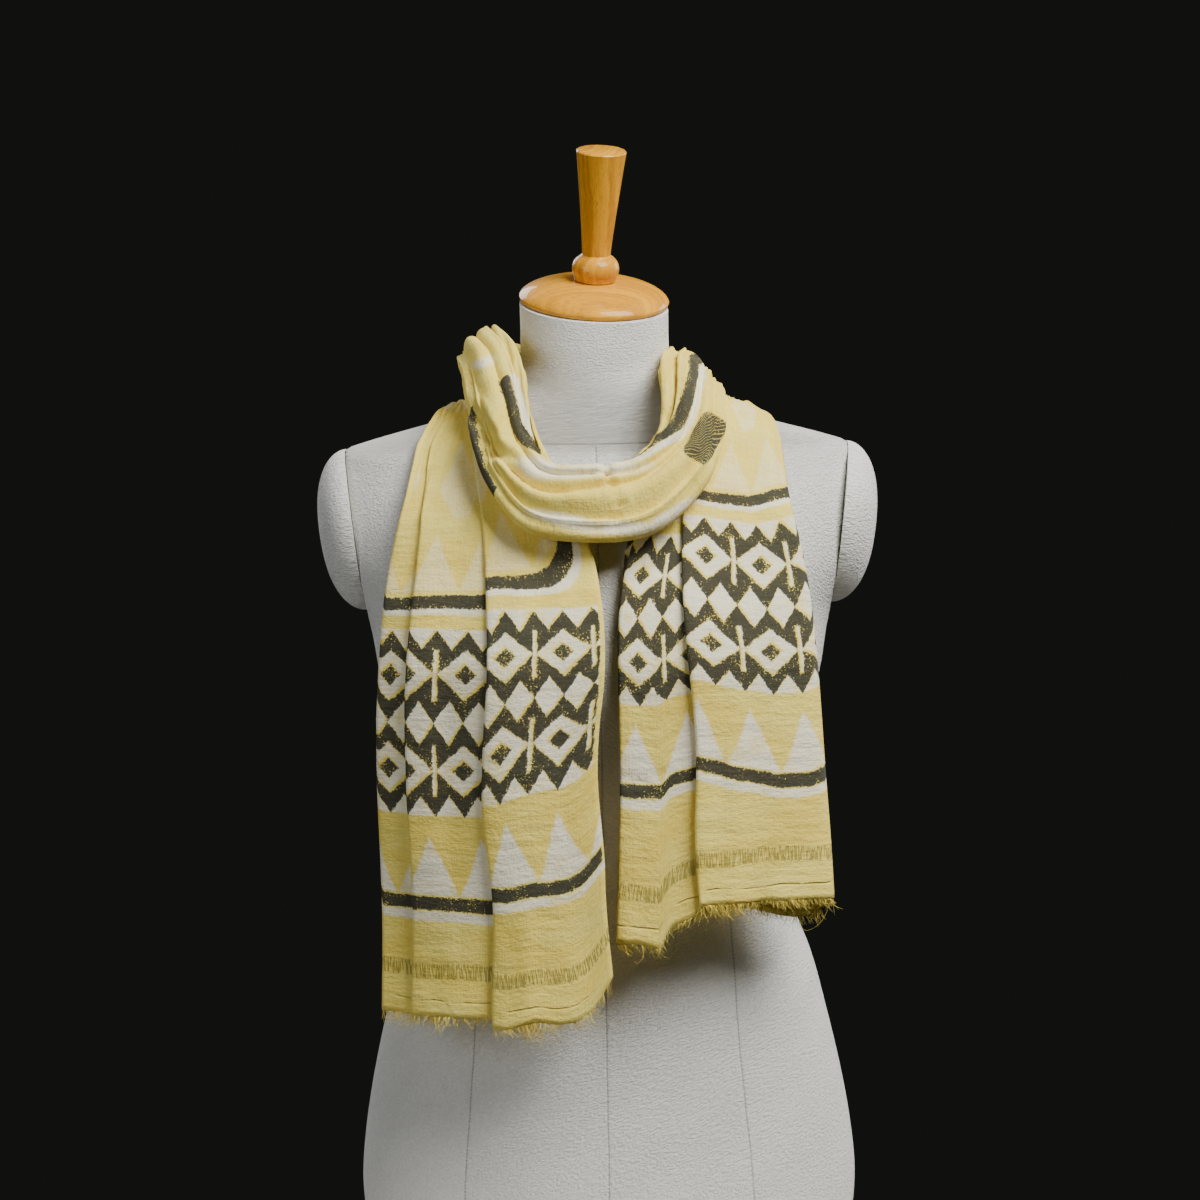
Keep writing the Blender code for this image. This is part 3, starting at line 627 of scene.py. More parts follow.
def build_wooden_cap(finish):
    """The neck's disc and its finial, square on the neck's slanting top. Their profiles are drawn in
    shares of their own radii and heights."""
    rotation = Euler((math.radians(NECK_TILT_FORWARD), math.radians(NECK_LEAN_SIDE), 0)).to_matrix()
    place = Vector((0, NECK_CENTRE_Y, NECK_TOP_Z)) + rotation @ Vector((0, 0, SEAM_GAP))
    seat = (rotation, place)

    under = [(DISC_RADIUS * 0.955, 0), (DISC_RADIUS * 0.975, 0.0004), (DISC_RADIUS * 0.99, 0.0014)]
    shoulder = np.radians(np.linspace(6, 86, 40))
    dome = [
        (DISC_RADIUS * math.cos(a) ** 0.75, DISC_HEIGHT * (0.12 + 0.88 * math.sin(a) ** 1.15))
        for a in shoulder
    ]
    disc = build_turned("cap_disc", [*under, *dome], finish, seat, [2, 1, 0])

    foot = DISC_HEIGHT + SEAM_GAP
    ball = [(BALL_RADIUS * 0.88, foot)]
    for a in np.radians(np.linspace(-26, 54, 30)):
        ball.append((BALL_RADIUS * math.cos(a) ** 0.8, foot + BALL_HEIGHT * (0.42 + 0.58 * math.sin(a))))
    neck = ball[-1][1]
    grow = HANDLE_TOP_RADIUS - HANDLE_FOOT_RADIUS
    shares = np.linspace(0.012, 0.975, 34)
    flare = [(HANDLE_FOOT_RADIUS + grow * s**1.15, neck + HANDLE_LENGTH * s) for s in shares]
    rim = [
        (HANDLE_TOP_RADIUS * 0.995, neck + HANDLE_LENGTH * 0.985),
        (HANDLE_TOP_RADIUS * 0.975, neck + HANDLE_LENGTH * 0.995),
        (HANDLE_TOP_RADIUS * 0.94, neck + HANDLE_LENGTH),
    ]
    finial = build_turned("cap_handle", [*ball, *flare, *rim], finish, seat, [0, 1, 2])
    return disc, finial


# ---------------------------------------------------------------- the stole's shape


def read_pairs(table, at):
    """Reads a table of (place, value) pairs at each place asked for."""
    return np.interp(at, *np.array(table, float).T)


def stage_value(values, stage):
    """Reads a row of values given at stages 0, 1, 2 ... at each stage asked for."""
    return curve_through(range(len(values)), values, np.clip(stage, 0, len(values) - 1))


def ridge_height(share, stage):
    """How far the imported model's ridges lift its outer panel, at each share of the way across it."""
    stages = (RIDGES_LEFT, RIDGES_FRONT, RIDGES_RIGHT)
    edge = np.zeros(len(stage))
    lift = np.zeros(len(stage))
    for ridge in LOOP_RIDGES:
        end = np.interp(stage, stages, (ridge.left, ridge.front, ridge.right))
        height = np.interp(stage, stages, (ridge.left_height, ridge.front_height, ridge.right_height)) * MM
        t = np.clip((share - edge) / (end - edge), 0, 1)
        lift += height * np.sqrt(np.sin(math.pi * t).clip(0))
        edge = end
    fade = np.clip(stage - RIDGES_FROM, 0, 1) * np.clip(RIDGES_TO - stage, 0, 1)
    return lift * fade


def fold_relief(share, stage, along):
    """How far the loop's soft folds lift its outer layers, at each share of the way across."""
    edge = np.zeros(len(stage))
    lift = np.zeros(len(stage))
    for number, fold in enumerate(LOOP_FOLDS):
        end = np.interp(stage, FOLD_STAGES, fold.ends)
        if number < len(LOOP_FOLDS) - 1:
            end = end + RIDGE_WANDER * FOLD_WANDER.at(along / RIDGE_WANDER_LENGTH, FOLD_STEP * number)
        t = np.clip((share - edge) / np.maximum(end - edge, LEAST_FOLD), 0, 1) ** fold.skew
        height = np.interp(stage, FOLD_STAGES, fold.heights) * MM
        lift += np.where(share <= 1.0, (height + FOLD_SINK) * np.sin(math.pi * t).clip(0) ** FOLD_ROUND, 0)
        edge = end
    sink = FOLD_SINK * smooth_step(np.minimum(share, 1 - share) + SINK_START, 0.0, SINK_FULL)
    fade = smooth_step(stage, RIDGES_FROM, RIDGES_FROM + 1) * smooth_step(-stage, -RIDGES_TO, 1 - RIDGES_TO)
    return (lift - sink) * fade


class Columns:
    """The points across a stack: the strip each belongs to, its share of the way over it, and its
    distance across the cut cloth. A fine one has points close together, and a coarse one has as many
    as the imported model."""

    def __init__(self, stack, fine, dressed=None):
        dressed = dressed or {}
        self.stack = [strip._replace(widths=dressed.get(strip.name, strip.widths)) for strip in stack]
        self.fine = fine
        self.turns = TURN_POINTS if fine else CAD_TURN_POINTS
        self.strip, self.share, self.cut = [0.0], [0.0], [0.0]
        stack = self.stack
        for number, strip in enumerate(stack):
            count = self.count(strip)
            first = self.cut[-1]
            for i in range(count):
                self.add(number, (i + 1) / count, first + strip.widths[0] * MM * (i + 1) / count)
            if number < len(stack) - 1:
                turn = abs(math.radians(stack[number + 1].heading - strip.heading))
                bend = strip.turn * MM * turn / self.turns
                for i in range(self.turns):
                    self.add(number + 0.5, (i + 1) / self.turns, self.cut[-1] + bend)
        self.strip, self.share, self.cut = (np.array(q) for q in (self.strip, self.share, self.cut))
        self.width = self.cut[-1]
        self.from_edge = np.minimum(self.cut, self.width - self.cut)
        self.panel = next((i for i, strip in enumerate(stack) if strip.name == "outer panel"), None)

    def add(self, strip, share, cut):
        self.strip.append(strip)
        self.share.append(share)
        self.cut.append(cut)

    def laid_out(self):
        """Which points are on the outer panel, on the turn before it or on the strips after it."""
        return self.strip > self.panel - 1

    def count(self, strip):
        if not self.fine:
            return CAD_POINTS[strip.name]
        spacing = HIDDEN_SPACING if "back" in strip.name else POINT_SPACING
        spacing = PANEL_SPACING if strip.name == "outer panel" else spacing
        return math.ceil(strip.widths[0] * MM / spacing)


def folded_rows(columns, stage, depth_scale, along, ridged):
    """Walks the folded stack at every row: each point's place inwards from the outer edge and its depth."""
    stack = columns.stack
    place = np.zeros((len(stage), 2))
    walked = [place]
    panel = None
    for number, strip in enumerate(stack):
        heading = math.radians(strip.heading)
        width = stage_value(strip.widths, stage) * MM
        if columns.fine:
            uneven = FOLD_WANDER.at(along / WIDTH_WANDER_LENGTH, WIDTH_LEVEL + number)
            width = width * (1 + WIDTH_WANDER * uneven)
        start, count = place, columns.count(strip)
        if strip.name == ridged and columns.fine:
            panel = (start[:, 0], width)
        for i in range(count):
            share = (i + 1) / count
            place = start + (width * share)[:, None] * np.array([math.cos(heading), math.sin(heading)])
            lifted = place.copy()
            if columns.fine:
                lifted[:, 1] += strip.bulge * MM * math.sin(math.pi * share) ** BULGE_ROUND
            if strip.name == ridged and not columns.fine:
                lifted[:, 1] += ridge_height(share, stage)
            walked.append(lifted)
        if number == len(stack) - 1:
            break
        turn = math.radians(stack[number + 1].heading) - heading
        chord = 2 * strip.turn * MM * math.sin(abs(turn) / columns.turns / 2)
        for i in range(columns.turns):
            facing = heading + turn * (i + 0.5) / columns.turns
            place = place + chord * np.array([math.cos(facing), math.sin(facing)])
            walked.append(place)
    section = np.stack(walked, axis=1)
    if panel:
        for column in np.flatnonzero(columns.laid_out()):
            share = (section[:, column, 0] - panel[0]) / panel[1]
            section[:, column, 1] += fold_relief(share, stage, along)
    inwards, depth = section[..., 0], section[..., 1]
    if columns.fine:
        depth_scale = depth_scale * read_pairs(RIGHT_FLAT if panel else LEFT_FLAT, stage)
    inwards = inwards - inwards.min(axis=1, keepdims=True)
    depth = (depth - depth.min(axis=1, keepdims=True)) * depth_scale[:, None]
    return inwards, depth


def path_knots(path):
    """The places along a path, and how far along it each one is."""
    places = np.array([(q.x, q.y, q.z) for q in path]) * MM
    return places, np.concatenate([[0], np.cumsum(np.linalg.norm(np.diff(places, axis=0), axis=1))])


def path_rows(path, rows):
    """Along a path: its edge points, the ways inwards and out there, its stage and its depth."""
    places, knots = path_knots(path)
    edge = curve_through(knots, places, rows)
    ahead = curve_through(knots, places, np.minimum(rows + MM, knots[-1]))
    behind = curve_through(knots, places, np.maximum(rows - MM, 0))
    inwards = unit(curve_through(knots, np.array([(q.in_x, q.in_y, q.in_z) for q in path], float), rows))
    out = unit(np.cross(inwards, ahead - behind))
    stage = curve_through(knots, [q.stage for q in path], rows)
    depth = curve_through(knots, [q.depth for q in path], rows)
    return edge, inwards, out, stage, depth


def spaced_rows(path, start, end):
    """Rows along part of a path, closer together where the path bends or twists."""
    fine = np.linspace(start, end, ROW_STEPS)
    edge, inwards, out, _, _ = path_rows(path, fine)
    length = np.linalg.norm(np.diff(edge, axis=0), axis=1)
    turn = np.linalg.norm(np.diff(inwards, axis=0), axis=1) + np.linalg.norm(np.diff(out, axis=0), axis=1)
    cost = np.concatenate([[0], np.cumsum(length / ROW_LENGTH + turn / ROW_TURN)])
    return np.interp(np.linspace(0, cost[-1], round(cost[-1]) + 1), cost, fine)


def hang_table():
    """How far forward cloth hangs: over the highest ground above it, bridging hollows as cloth does."""
    across, down = HANG_TABLE_SIZE
    x = np.linspace(-HANG_TABLE_HALF, HANG_TABLE_HALF, across)
    z = np.linspace(HANG_TOP, HANG_TABLE_LOW, down)
    grid_x, grid_z = np.meshgrid(x, z)
    ground = np.maximum.accumulate(front_depth(grid_x, grid_z), axis=0)
    sag = (x[:, None] - x[None, :]) ** 2 / (2 * CLOTH_SPAN_RADIUS)
    bridged = (ground[:, None, :] - sag[None, :, :]).max(axis=2)
    return x, z[::-1], bridged[::-1]


def read_table(table, x, z):
    """Reads a table of rows z by columns x between its entries."""
    xs, zs, values = table
    i = np.clip((x - xs[0]) / (xs[1] - xs[0]), 0, len(xs) - 1.001)
    j = np.clip((z - zs[0]) / (zs[1] - zs[0]), 0, len(zs) - 1.001)
    i0, j0 = i.astype(int), j.astype(int)
    a, b = i - i0, j - j0
    low = values[j0, i0] * (1 - a) + values[j0, i0 + 1] * a
    high = values[j0 + 1, i0] * (1 - a) + values[j0 + 1, i0 + 1] * a
    return low * (1 - b) + high * b


def stole_grid(columns, path, rows, hem, ridged=None):
    """The stole's surface over one stretch, rows along it by points across its stack, and the ways out."""
    edge, inwards, out, stage, depth_scale = path_rows(path, rows)
    across, depth = folded_rows(columns, stage, depth_scale, rows, ridged)
    grid = edge[:, None] + inwards[:, None] * across[..., None] + out[:, None] * depth[..., None]
    grid[..., 2] -= hem_drop(columns, hem) * np.clip(1 - stage, 0, 1)[:, None]
    low = smooth_step(HANG_TOP - HANG_MARGIN - grid[..., 2], 0, HANG_BLEND)
    low = low * np.clip(HANG_STAGE - stage, 0, 1)[:, None]
    hung = -(read_table(HANG, grid[..., 0], grid[..., 2]) + LIE_GAP + depth)
    grid[..., 1] = grid[..., 1] * (1 - low) + hung * low
    return grid, out, stage, across


def hem_drop(columns, hem):
    """How much lower than the path each point across the stack hangs at the hem."""
    if columns.fine:
        return read_across(hem, columns)
    counts = [columns.count(strip) for strip in columns.stack]
    starts = np.cumsum([0] + [count + columns.turns for count in counts])
    middles = [start + count / 2 for start, count in zip(starts, counts)]
    return np.interp(np.arange(len(columns.cut)), middles, [strip.drop * MM for strip in columns.stack])


def read_across(table, columns):
    """Reads a table of (distance across the cut cloth, value) at each point across the stack."""
    places, values = np.array(table, float).T * MM
    return np.interp(columns.cut, places, values)


def tree_of_grid(grid):
    rows, across = grid.shape[:2]
    corners = [r * across + c for r in range(rows - 1) for c in range(across - 1)]
    return tree_of_faces(grid.reshape(-1, 3), [(at, at + across, at + across + 1, at + 1) for at in corners])


def lift_over(grounds, grid, out, chosen):
    """How far each chosen row has to move outwards to lie clear of the grounds under it."""
    lift = np.zeros(len(grid))
    for row in np.flatnonzero(chosen):
        way = out[row]
        for point in grid[row]:
            above = Vector(point + way * REST_REACH)
            for tree, clear in grounds:
                far = tree.ray_cast(above, Vector(-way), REST_REACH + clear)[3]
                if far is not None:
                    lift[row] = max(lift[row], REST_REACH + clear - far)
    return lift


def eased(at, rows, lift):
    """The lift at each place along, easing the places beside a lifted row."""
    nearness = np.exp(-(((at[:, None] - rows[None, :]) / REST_SPREAD) ** 2))
    return (nearness * lift[None, :]).max(axis=1)


def raised(grid, out, lift):
    return grid + (lift[:, None] * out)[:, None, :]


def settle_left():
    """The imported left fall's rows and how far each was lifted to lie clear."""
    columns = Columns(LEFT_STACK, fine=False)
    rows = spaced_rows(LEFT_PATH, 0, path_knots(LEFT_PATH)[1][-1])
    grid, out, stage, _ = stole_grid(columns, LEFT_PATH, rows, None)
    lift = lift_over([(FORM_TREE, FOLD_CLEAR)], grid, out, stage >= 0)
    return rows, lift, raised(grid, out, eased(rows, rows, lift))


def settle_strand(left_fall):
    """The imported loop's and right fall's rows and how far each was lifted to lie clear."""
    columns = Columns(RIGHT_STACK, fine=False)
    path = [*LOOP_PATH, *RIGHT_PATH]
    along = path_knots(path)[1]
    parting = along[len(LOOP_PATH) - 1]
    loop_rows = spaced_rows(path, 0, parting - SEAM_GAP)
    rows = np.concatenate([loop_rows, spaced_rows(path, parting + SEAM_GAP, along[-1])])
    grid, out, stage, _ = stole_grid(columns, path, rows, None, "outer panel")
    body = (FORM_TREE, BODY_CLEAR)
    under = [body, (tree_of_grid(left_fall), FOLD_CLEAR)]
    first, last = stage > FIRST_UNDER, stage < LAST_OVER
    lift = lift_over(under, grid, out, first) + lift_over([body], grid, out, last)
    laid = raised(grid, out, eased(rows, rows, lift))
    over_last = [*under, (tree_of_grid(laid[last]), FOLD_CLEAR)]
    over_first = [*under, (tree_of_grid(laid[first]), FOLD_CLEAR)]
    lift = np.maximum(lift, lift_over(over_last, grid, out, ~first & (stage > TURNS_OVER)))
    lift = np.maximum(lift, lift_over(over_first, grid, out, ~last & (stage <= TURNS_OVER)))
    return rows, lift


def sway(grid, stage, columns):
    """Soft uneven folds in the hanging ends: whole stacks move together, so their layers stay apart."""
    hang = smooth_step(-grid[..., 2], -HANG_TOP, -HANG_TOP + SWAY_GROWS)
    hang = hang * smooth_step(-stage, -SWAY_ENDS, -SWAY_FULL)[:, None]
    x, z = grid[..., 0], grid[..., 2]
    fold = 0.5 + 0.5 * FOLD_WANDER.at(x / FOLD_ACROSS, z / FOLD_ALONG, SWAY_LEVEL)
    moved = grid.copy()
    moved[..., 1] -= hang * FOLD_SWAY * fold
    moved[..., 1] -= hang * RUMPLE * FOLD_WANDER.at(x / RUMPLE_ACROSS, z / RUMPLE_ALONG, RUMPLE_LEVEL)
    near_hem = smooth_step(-stage, -HEM_CURL_REACH / HEM_STAGE_LENGTH, 0)[:, None]
    curl = HEM_CURL_MIDDLE + FOLD_WANDER.at(x / HEM_CURL_ACROSS, 0.0, CURL_LEVEL)
    moved[..., 1] -= near_hem * HEM_CURL * curl
    uneven = FOLD_WANDER.at(columns.cut / HEM_WANDER_ACROSS, 0.0, HEM_LEVEL)
    moved[..., 2] += near_hem * HEM_WANDER * uneven[None, :]
    moved[..., 0] += hang * SIDE_SWAY * FOLD_WANDER.at(z / SIDE_ALONG, x / SIDE_ACROSS, SIDE_LEVEL)
    return moved


def gathered(grid, out, stage, across, rows, columns):
    """Lengthwise gathers where the cloth is drawn in, and small wrinkles all over."""
    drawn = smooth_step(stage, GATHERS_FROM, GATHERS_FULL)[:, None]
    drift = FOLD_WANDER.at(across / GATHER_DRIFT_ACROSS, rows[:, None] / GATHER_ALONG, GATHER_LEVEL)
    gather = np.sin(2 * math.pi * (across / GATHER_ACROSS + GATHER_DRIFT * drift))
    strips = np.array([GATHER_SHARES.get(strip.name, 1.0) for strip in columns.stack])
    share = np.interp(columns.strip, range(len(strips)), strips)
    level = columns.strip[None, :] * WRINKLE_STEP
    fine = WRINKLE_WANDER.at(across / WRINKLE_ACROSS, rows[:, None] / WRINKLE_ALONG, level)
    height = GATHER_HEIGHT * drawn * gather * share + WRINKLE_HEIGHT * fine
    return grid + height[..., None] * out[:, None, :]


def creased(grid, out, creases):
    """Presses soft creases into what faces the front, each along a line seen from the front."""
    moved = grid.copy()
    faced = (grid[..., 1] < CREASE_FRONT)[..., None]
    seen = grid[..., [0, 2]]
    for crease in creases:
        start = np.array([crease.x, crease.z]) * MM
        along = np.array([crease.x2, crease.z2]) * MM - start
        t = np.clip(((seen - start) @ along) / (along @ along), 0, 1)
        far = np.linalg.norm(seen - (start + t[..., None] * along), axis=-1) / (crease.width * MM)
        rim = RIM_SHARE * np.exp(-((far - RIM_AT) ** 2) * RIM_SHARPNESS)
        press = crease.depth * MM * (np.exp(-(far**2)) - rim)
        moved -= np.where(faced, press[..., None] * out[:, None, :], 0)
    return moved


def kept_out(grid, tree, clear):
    """Moves each point that is nearer to a closed body than clear out to that distance."""
    flat = grid.reshape(-1, 3).copy()
    for i, point in enumerate(flat):
        near, normal = tree.find_nearest(Vector(point), COVER_REACH)[:2]
        if near is None:
            continue
        height = (Vector(point) - near).dot(normal)
        if height < clear:
            flat[i] = point + np.array(normal) * (clear - height)
    return flat.reshape(grid.shape)


def hugged(grid, tree, keep):
    """Draws rows nearer to a closed body: each keeps a share of its distance past a thin layer."""
    moved = grid.copy()
    for row in np.flatnonzero(keep < 0.999):
        for column, point in enumerate(grid[row]):
            near, normal = tree.find_nearest(Vector(point), HUG_REACH)[:2]
            if near is None:
                continue
            height = (Vector(point) - near).dot(normal)
            if height > HUG_LAYER:
                moved[row, column] -= np.array(normal) * (height - HUG_LAYER) * (1 - keep[row])
    return moved


def cloth_wall(name, grid, finish):
    """A closed thin wall of cloth round a grid of surface points, the printed side outermost first."""
    rows, across = grid.shape[:2]
    normal = unit(np.cross(np.gradient(grid, axis=0), np.gradient(grid, axis=1)))
    skins = [(grid + side * normal * CLOTH_THICKNESS / 2).reshape(-1, 3) for side in (1, -1)]
    size = rows * across
    at = np.arange(size).reshape(rows, across)
    a, b, d, e = (q.ravel() for q in (at[:-1, :-1], at[1:, :-1], at[:-1, 1:], at[1:, 1:]))
    faces = np.concatenate([np.stack([a, b, e, d], 1), np.stack([d, e, b, a], 1) + size]).tolist()
    rim = np.concatenate([at[:-1, 0], at[-1, :-1], at[:0:-1, -1], at[0, :0:-1]])
    for p, q in zip(rim, np.roll(rim, -1)):
        faces.append((q, p, size + p, size + q))
    return mesh_piece(name, np.concatenate(skins), faces, finish)


FOLD_WANDER = Wander(11)
WRINKLE_WANDER = Wander(12)
HANG = hang_table()
FORM_NODES = ("form_body", "form_shoulder_cap_left", "form_shoulder_cap_right")
FORM_TREE = tree_of_faces(*cad_points_and_faces(FORM_NODES))


def even_rows(path):
    end = path_knots(path)[1][-1]
    return np.linspace(0, end, round(end / ROW_SPACING) + 1)


def mark_sides(piece, name, vectors):
    """Stores the same vectors on both sides of a wall of cloth."""
    flat = np.reshape(vectors, (-1, 3))
    mark(piece, name, np.concatenate([flat, flat]))


def mark_cloth(piece, columns, from_hem, lower, shift, plain=False):
    """Stores where each point is on the cut cloth and on its print."""
    cut = np.broadcast_to(columns.cut, (len(from_hem), len(columns.cut)))
    edge = np.broadcast_to(columns.from_edge, cut.shape)
    along = np.broadcast_to(from_hem[:, None], cut.shape)
    places, levels = zip(*lower)
    places, levels = np.array(places) * MM, np.array(levels, float).T * MM
    lowered = [np.interp(columns.cut, places, level) for level in levels]
    steps = np.array([np.interp(from_hem, np.array(PRINT_HEIGHTS) * MM, row) for row in np.eye(len(lowered))])
    printed = np.where(plain, PLAIN_ALONG * MM, along + steps.T @ np.array(lowered))
    mark_sides(piece, "cloth", np.stack([cut, along, edge], axis=-1))
    mark_sides(piece, "print", np.stack([cut + read_across(shift, columns), printed, edge], axis=-1))


def mark_loop(piece, columns, grid, stage, across):
    """Stores where the loop's lengthwise stripes, pale shapes and hatched block are printed."""
    panel_end = np.flatnonzero(columns.strip == columns.panel)[-1]
    past = (across - across[:, panel_end:panel_end + 1]) / MM
    left = FRAME_FROM_EDGE - (past - read_pairs(STRIPE_LEFT, stage)[:, None])
    right = FRAME_FROM_EDGE + (past - read_pairs(STRIPE_RIGHT, stage)[:, None])
    striped = np.where(stage[:, None] < STRIPE_SIDE, left, np.maximum(right, SELVEDGE))
    broken = (stage > STRIPE_BROKEN_FROM) & (stage < STRIPE_BROKEN_TO)
    striped = np.where(broken[:, None] | (striped > PLAIN_AT), NO_STRIPE, striped * MM)

    in_turn = columns.laid_out() & (columns.strip < columns.panel)
    turned = (stage > OUTER_STRIPE_FROM) & (stage < OUTER_STRIPE_TO)
    outer = (FRAME_FROM_EDGE + OUTER_STRIPE_SPREAD * np.abs(columns.share - OUTER_STRIPE_TURN)) * MM
    striped = np.where(in_turn[None, :] & turned[:, None], outer[None, :], striped)

    laid = columns.laid_out()[None, :]
    started = (stage > STRIPE_LEFT[0][0])[:, None]
    inner = (stage > INNER_PLAIN_FROM_STAGE)[:, None] & (columns.strip > columns.panel)[None, :]
    edge = np.where(laid & started, striped, np.where(started | inner, NO_STRIPE, columns.from_edge[None, :]))

    looped = (stage > LAST_OVER)[:, None] & (grid[..., 1] < CREASE_FRONT) & laid
    pale = np.full(across.shape, NO_SHAPE)
    for x, z, long, high, degrees in PALE_SHAPES:
        pale = np.maximum(pale, inside_shape(grid, x, z, long, high, degrees))
    block = inside_shape(grid, *HATCHED_BLOCK, squareness=BLOCK_SQUARENESS)
    shapes = [np.where(looped, shape, NO_SHAPE) for shape in (pale, block)]
    mark_sides(piece, "loop", np.stack([edge, *shapes], axis=-1))


def inside_shape(grid, x, z, long, high, degrees, squareness=OVAL_SQUARENESS):
    """How far inside a turned oval each point is, seen from the front, in units of its half height."""
    turn = math.radians(degrees)
    aside, up = grid[..., 0] / MM - x, grid[..., 2] / MM - z
    along = (aside * math.cos(turn) + up * math.sin(turn)) / long
    across = (up * math.cos(turn) - aside * math.sin(turn)) / high
    out = (np.abs(along) ** squareness + np.abs(across) ** squareness) ** (1 / squareness)
    return np.clip(1 - out, -1, 1)


def build_left_fall(finish):
    """The left end's cloth, with the grid and the columns its frayed hem is made from."""
    coarse_rows, lift, _ = settle_left()
    columns = Columns(LEFT_STACK, True, LEFT_DRESSED)
    rows = even_rows(LEFT_PATH)
    grid, out, stage, across = stole_grid(columns, LEFT_PATH, rows, HEM_LEFT)
    grid = raised(grid, out, eased(rows, coarse_rows, lift))
    heights, shifts = np.array(LEFT_SHIFT).T * MM
    grid[..., 0] += np.interp(grid[..., 2], heights, shifts) * np.clip(LEFT_SHIFT_TO - stage, 0, 1)[:, None]
    grid = hugged(grid, FORM_TREE, read_pairs(HUG_KEEP, stage))
    grid = sway(grid, stage, columns)
    grid = gathered(grid, out, stage, across, rows, columns)
    grid = kept_out(grid, FORM_TREE, COVER_CLEAR)
    piece = cloth_wall("stole_left_end", grid, finish)
    mark_cloth(piece, columns, rows, PRINT_LOWER_LEFT, PRINT_ACROSS_LEFT)
    marks = np.tile(NO_LOOP, (len(rows), len(columns.cut), 1))
    marks[..., 0] = columns.from_edge + LEFT_FRAME_SHIFT
    mark_sides(piece, "loop", marks)
    return piece, grid, columns


def build_strand(finish):
    """The cloth of the loop and right end, with the grid and the columns its frayed hem is made from."""
    left_fall = settle_left()[2]
    coarse_rows, lift = settle_strand(left_fall)
    columns = Columns(RIGHT_STACK, True, RIGHT_DRESSED)
    path = [*LOOP_PATH, *RIGHT_PATH]
    rows = even_rows(path)
    grid, out, stage, across = stole_grid(columns, path, rows, HEM_RIGHT, "outer panel")
    grid = raised(grid, out, eased(rows, coarse_rows, lift))
    at, aside, up = np.array(LOOP_SHIFT, float).T
    grid[..., 0] += np.interp(stage, at, aside * MM)[:, None]
    grid[..., 2] += np.interp(stage, at, up * MM)[:, None]
    grid = hugged(grid, FORM_TREE, read_pairs(HUG_KEEP, stage))
    grid = sway(grid, stage, columns)
    grid = gathered(grid, out, stage, across, rows, columns)
    in_loop = (stage > LAST_OVER)[:, None, None]
    grid = np.where(in_loop, creased(grid, out, LOOP_CREASES), creased(grid, out, FALL_CREASES))
    grid = kept_out(grid, FORM_TREE, COVER_CLEAR)
    piece = cloth_wall("stole_loop_and_right_end", grid, finish)
    plain = (stage > PLAIN_FROM_STAGE)[:, None] & columns.laid_out()[None, :]
    mark_cloth(piece, columns, rows[-1] - rows, PRINT_LOWER_RIGHT, PRINT_ACROSS_RIGHT, plain)
    mark_loop(piece, columns, grid, stage, across)
    return piece, grid, columns


# ---------------------------------------------------------------- finishes


def linear(red, green, blue):
    """A colour given as it looks on a screen, 0 to 255, as the shader reads it."""
    shown = [c / 255 for c in (red, green, blue)]
    return tuple(c / 12.92 if c <= 0.04045 else ((c + 0.055) / 1.055) ** 2.4 for c in shown)


def sum_of(operation, swapped=False):
    """A method for readings, which makes one maths node from the reading and another number."""

    def made(self, other):
        return self.graph.math(operation, *((other, self) if swapped else (self, other)))

    return made


class Reading:
    """A number on a node's socket. Sums with it make more nodes."""

    __add__, __radd__ = sum_of("ADD"), sum_of("ADD", swapped=True)
    __sub__, __rsub__ = sum_of("SUBTRACT"), sum_of("SUBTRACT", swapped=True)
    __mul__, __rmul__ = sum_of("MULTIPLY"), sum_of("MULTIPLY", swapped=True)
    __truediv__ = sum_of("DIVIDE")
    least, most, pingpong = sum_of("MINIMUM"), sum_of("MAXIMUM"), sum_of("PINGPONG")

    def __init__(self, graph, socket):
        self.graph, self.socket = graph, socket

    def __neg__(self):
        return self * -1

    def __abs__(self):
        return self.graph.math("ABSOLUTE", self)

    def step(self, low, high):
        """0 below low, 1 above high and smooth between them."""
        node = self.graph.node("MapRange", Value=self, From_Min=low, From_Max=high)
        node.interpolation_type = "SMOOTHSTEP"
        return Reading(self.graph, node.outputs["Result"])


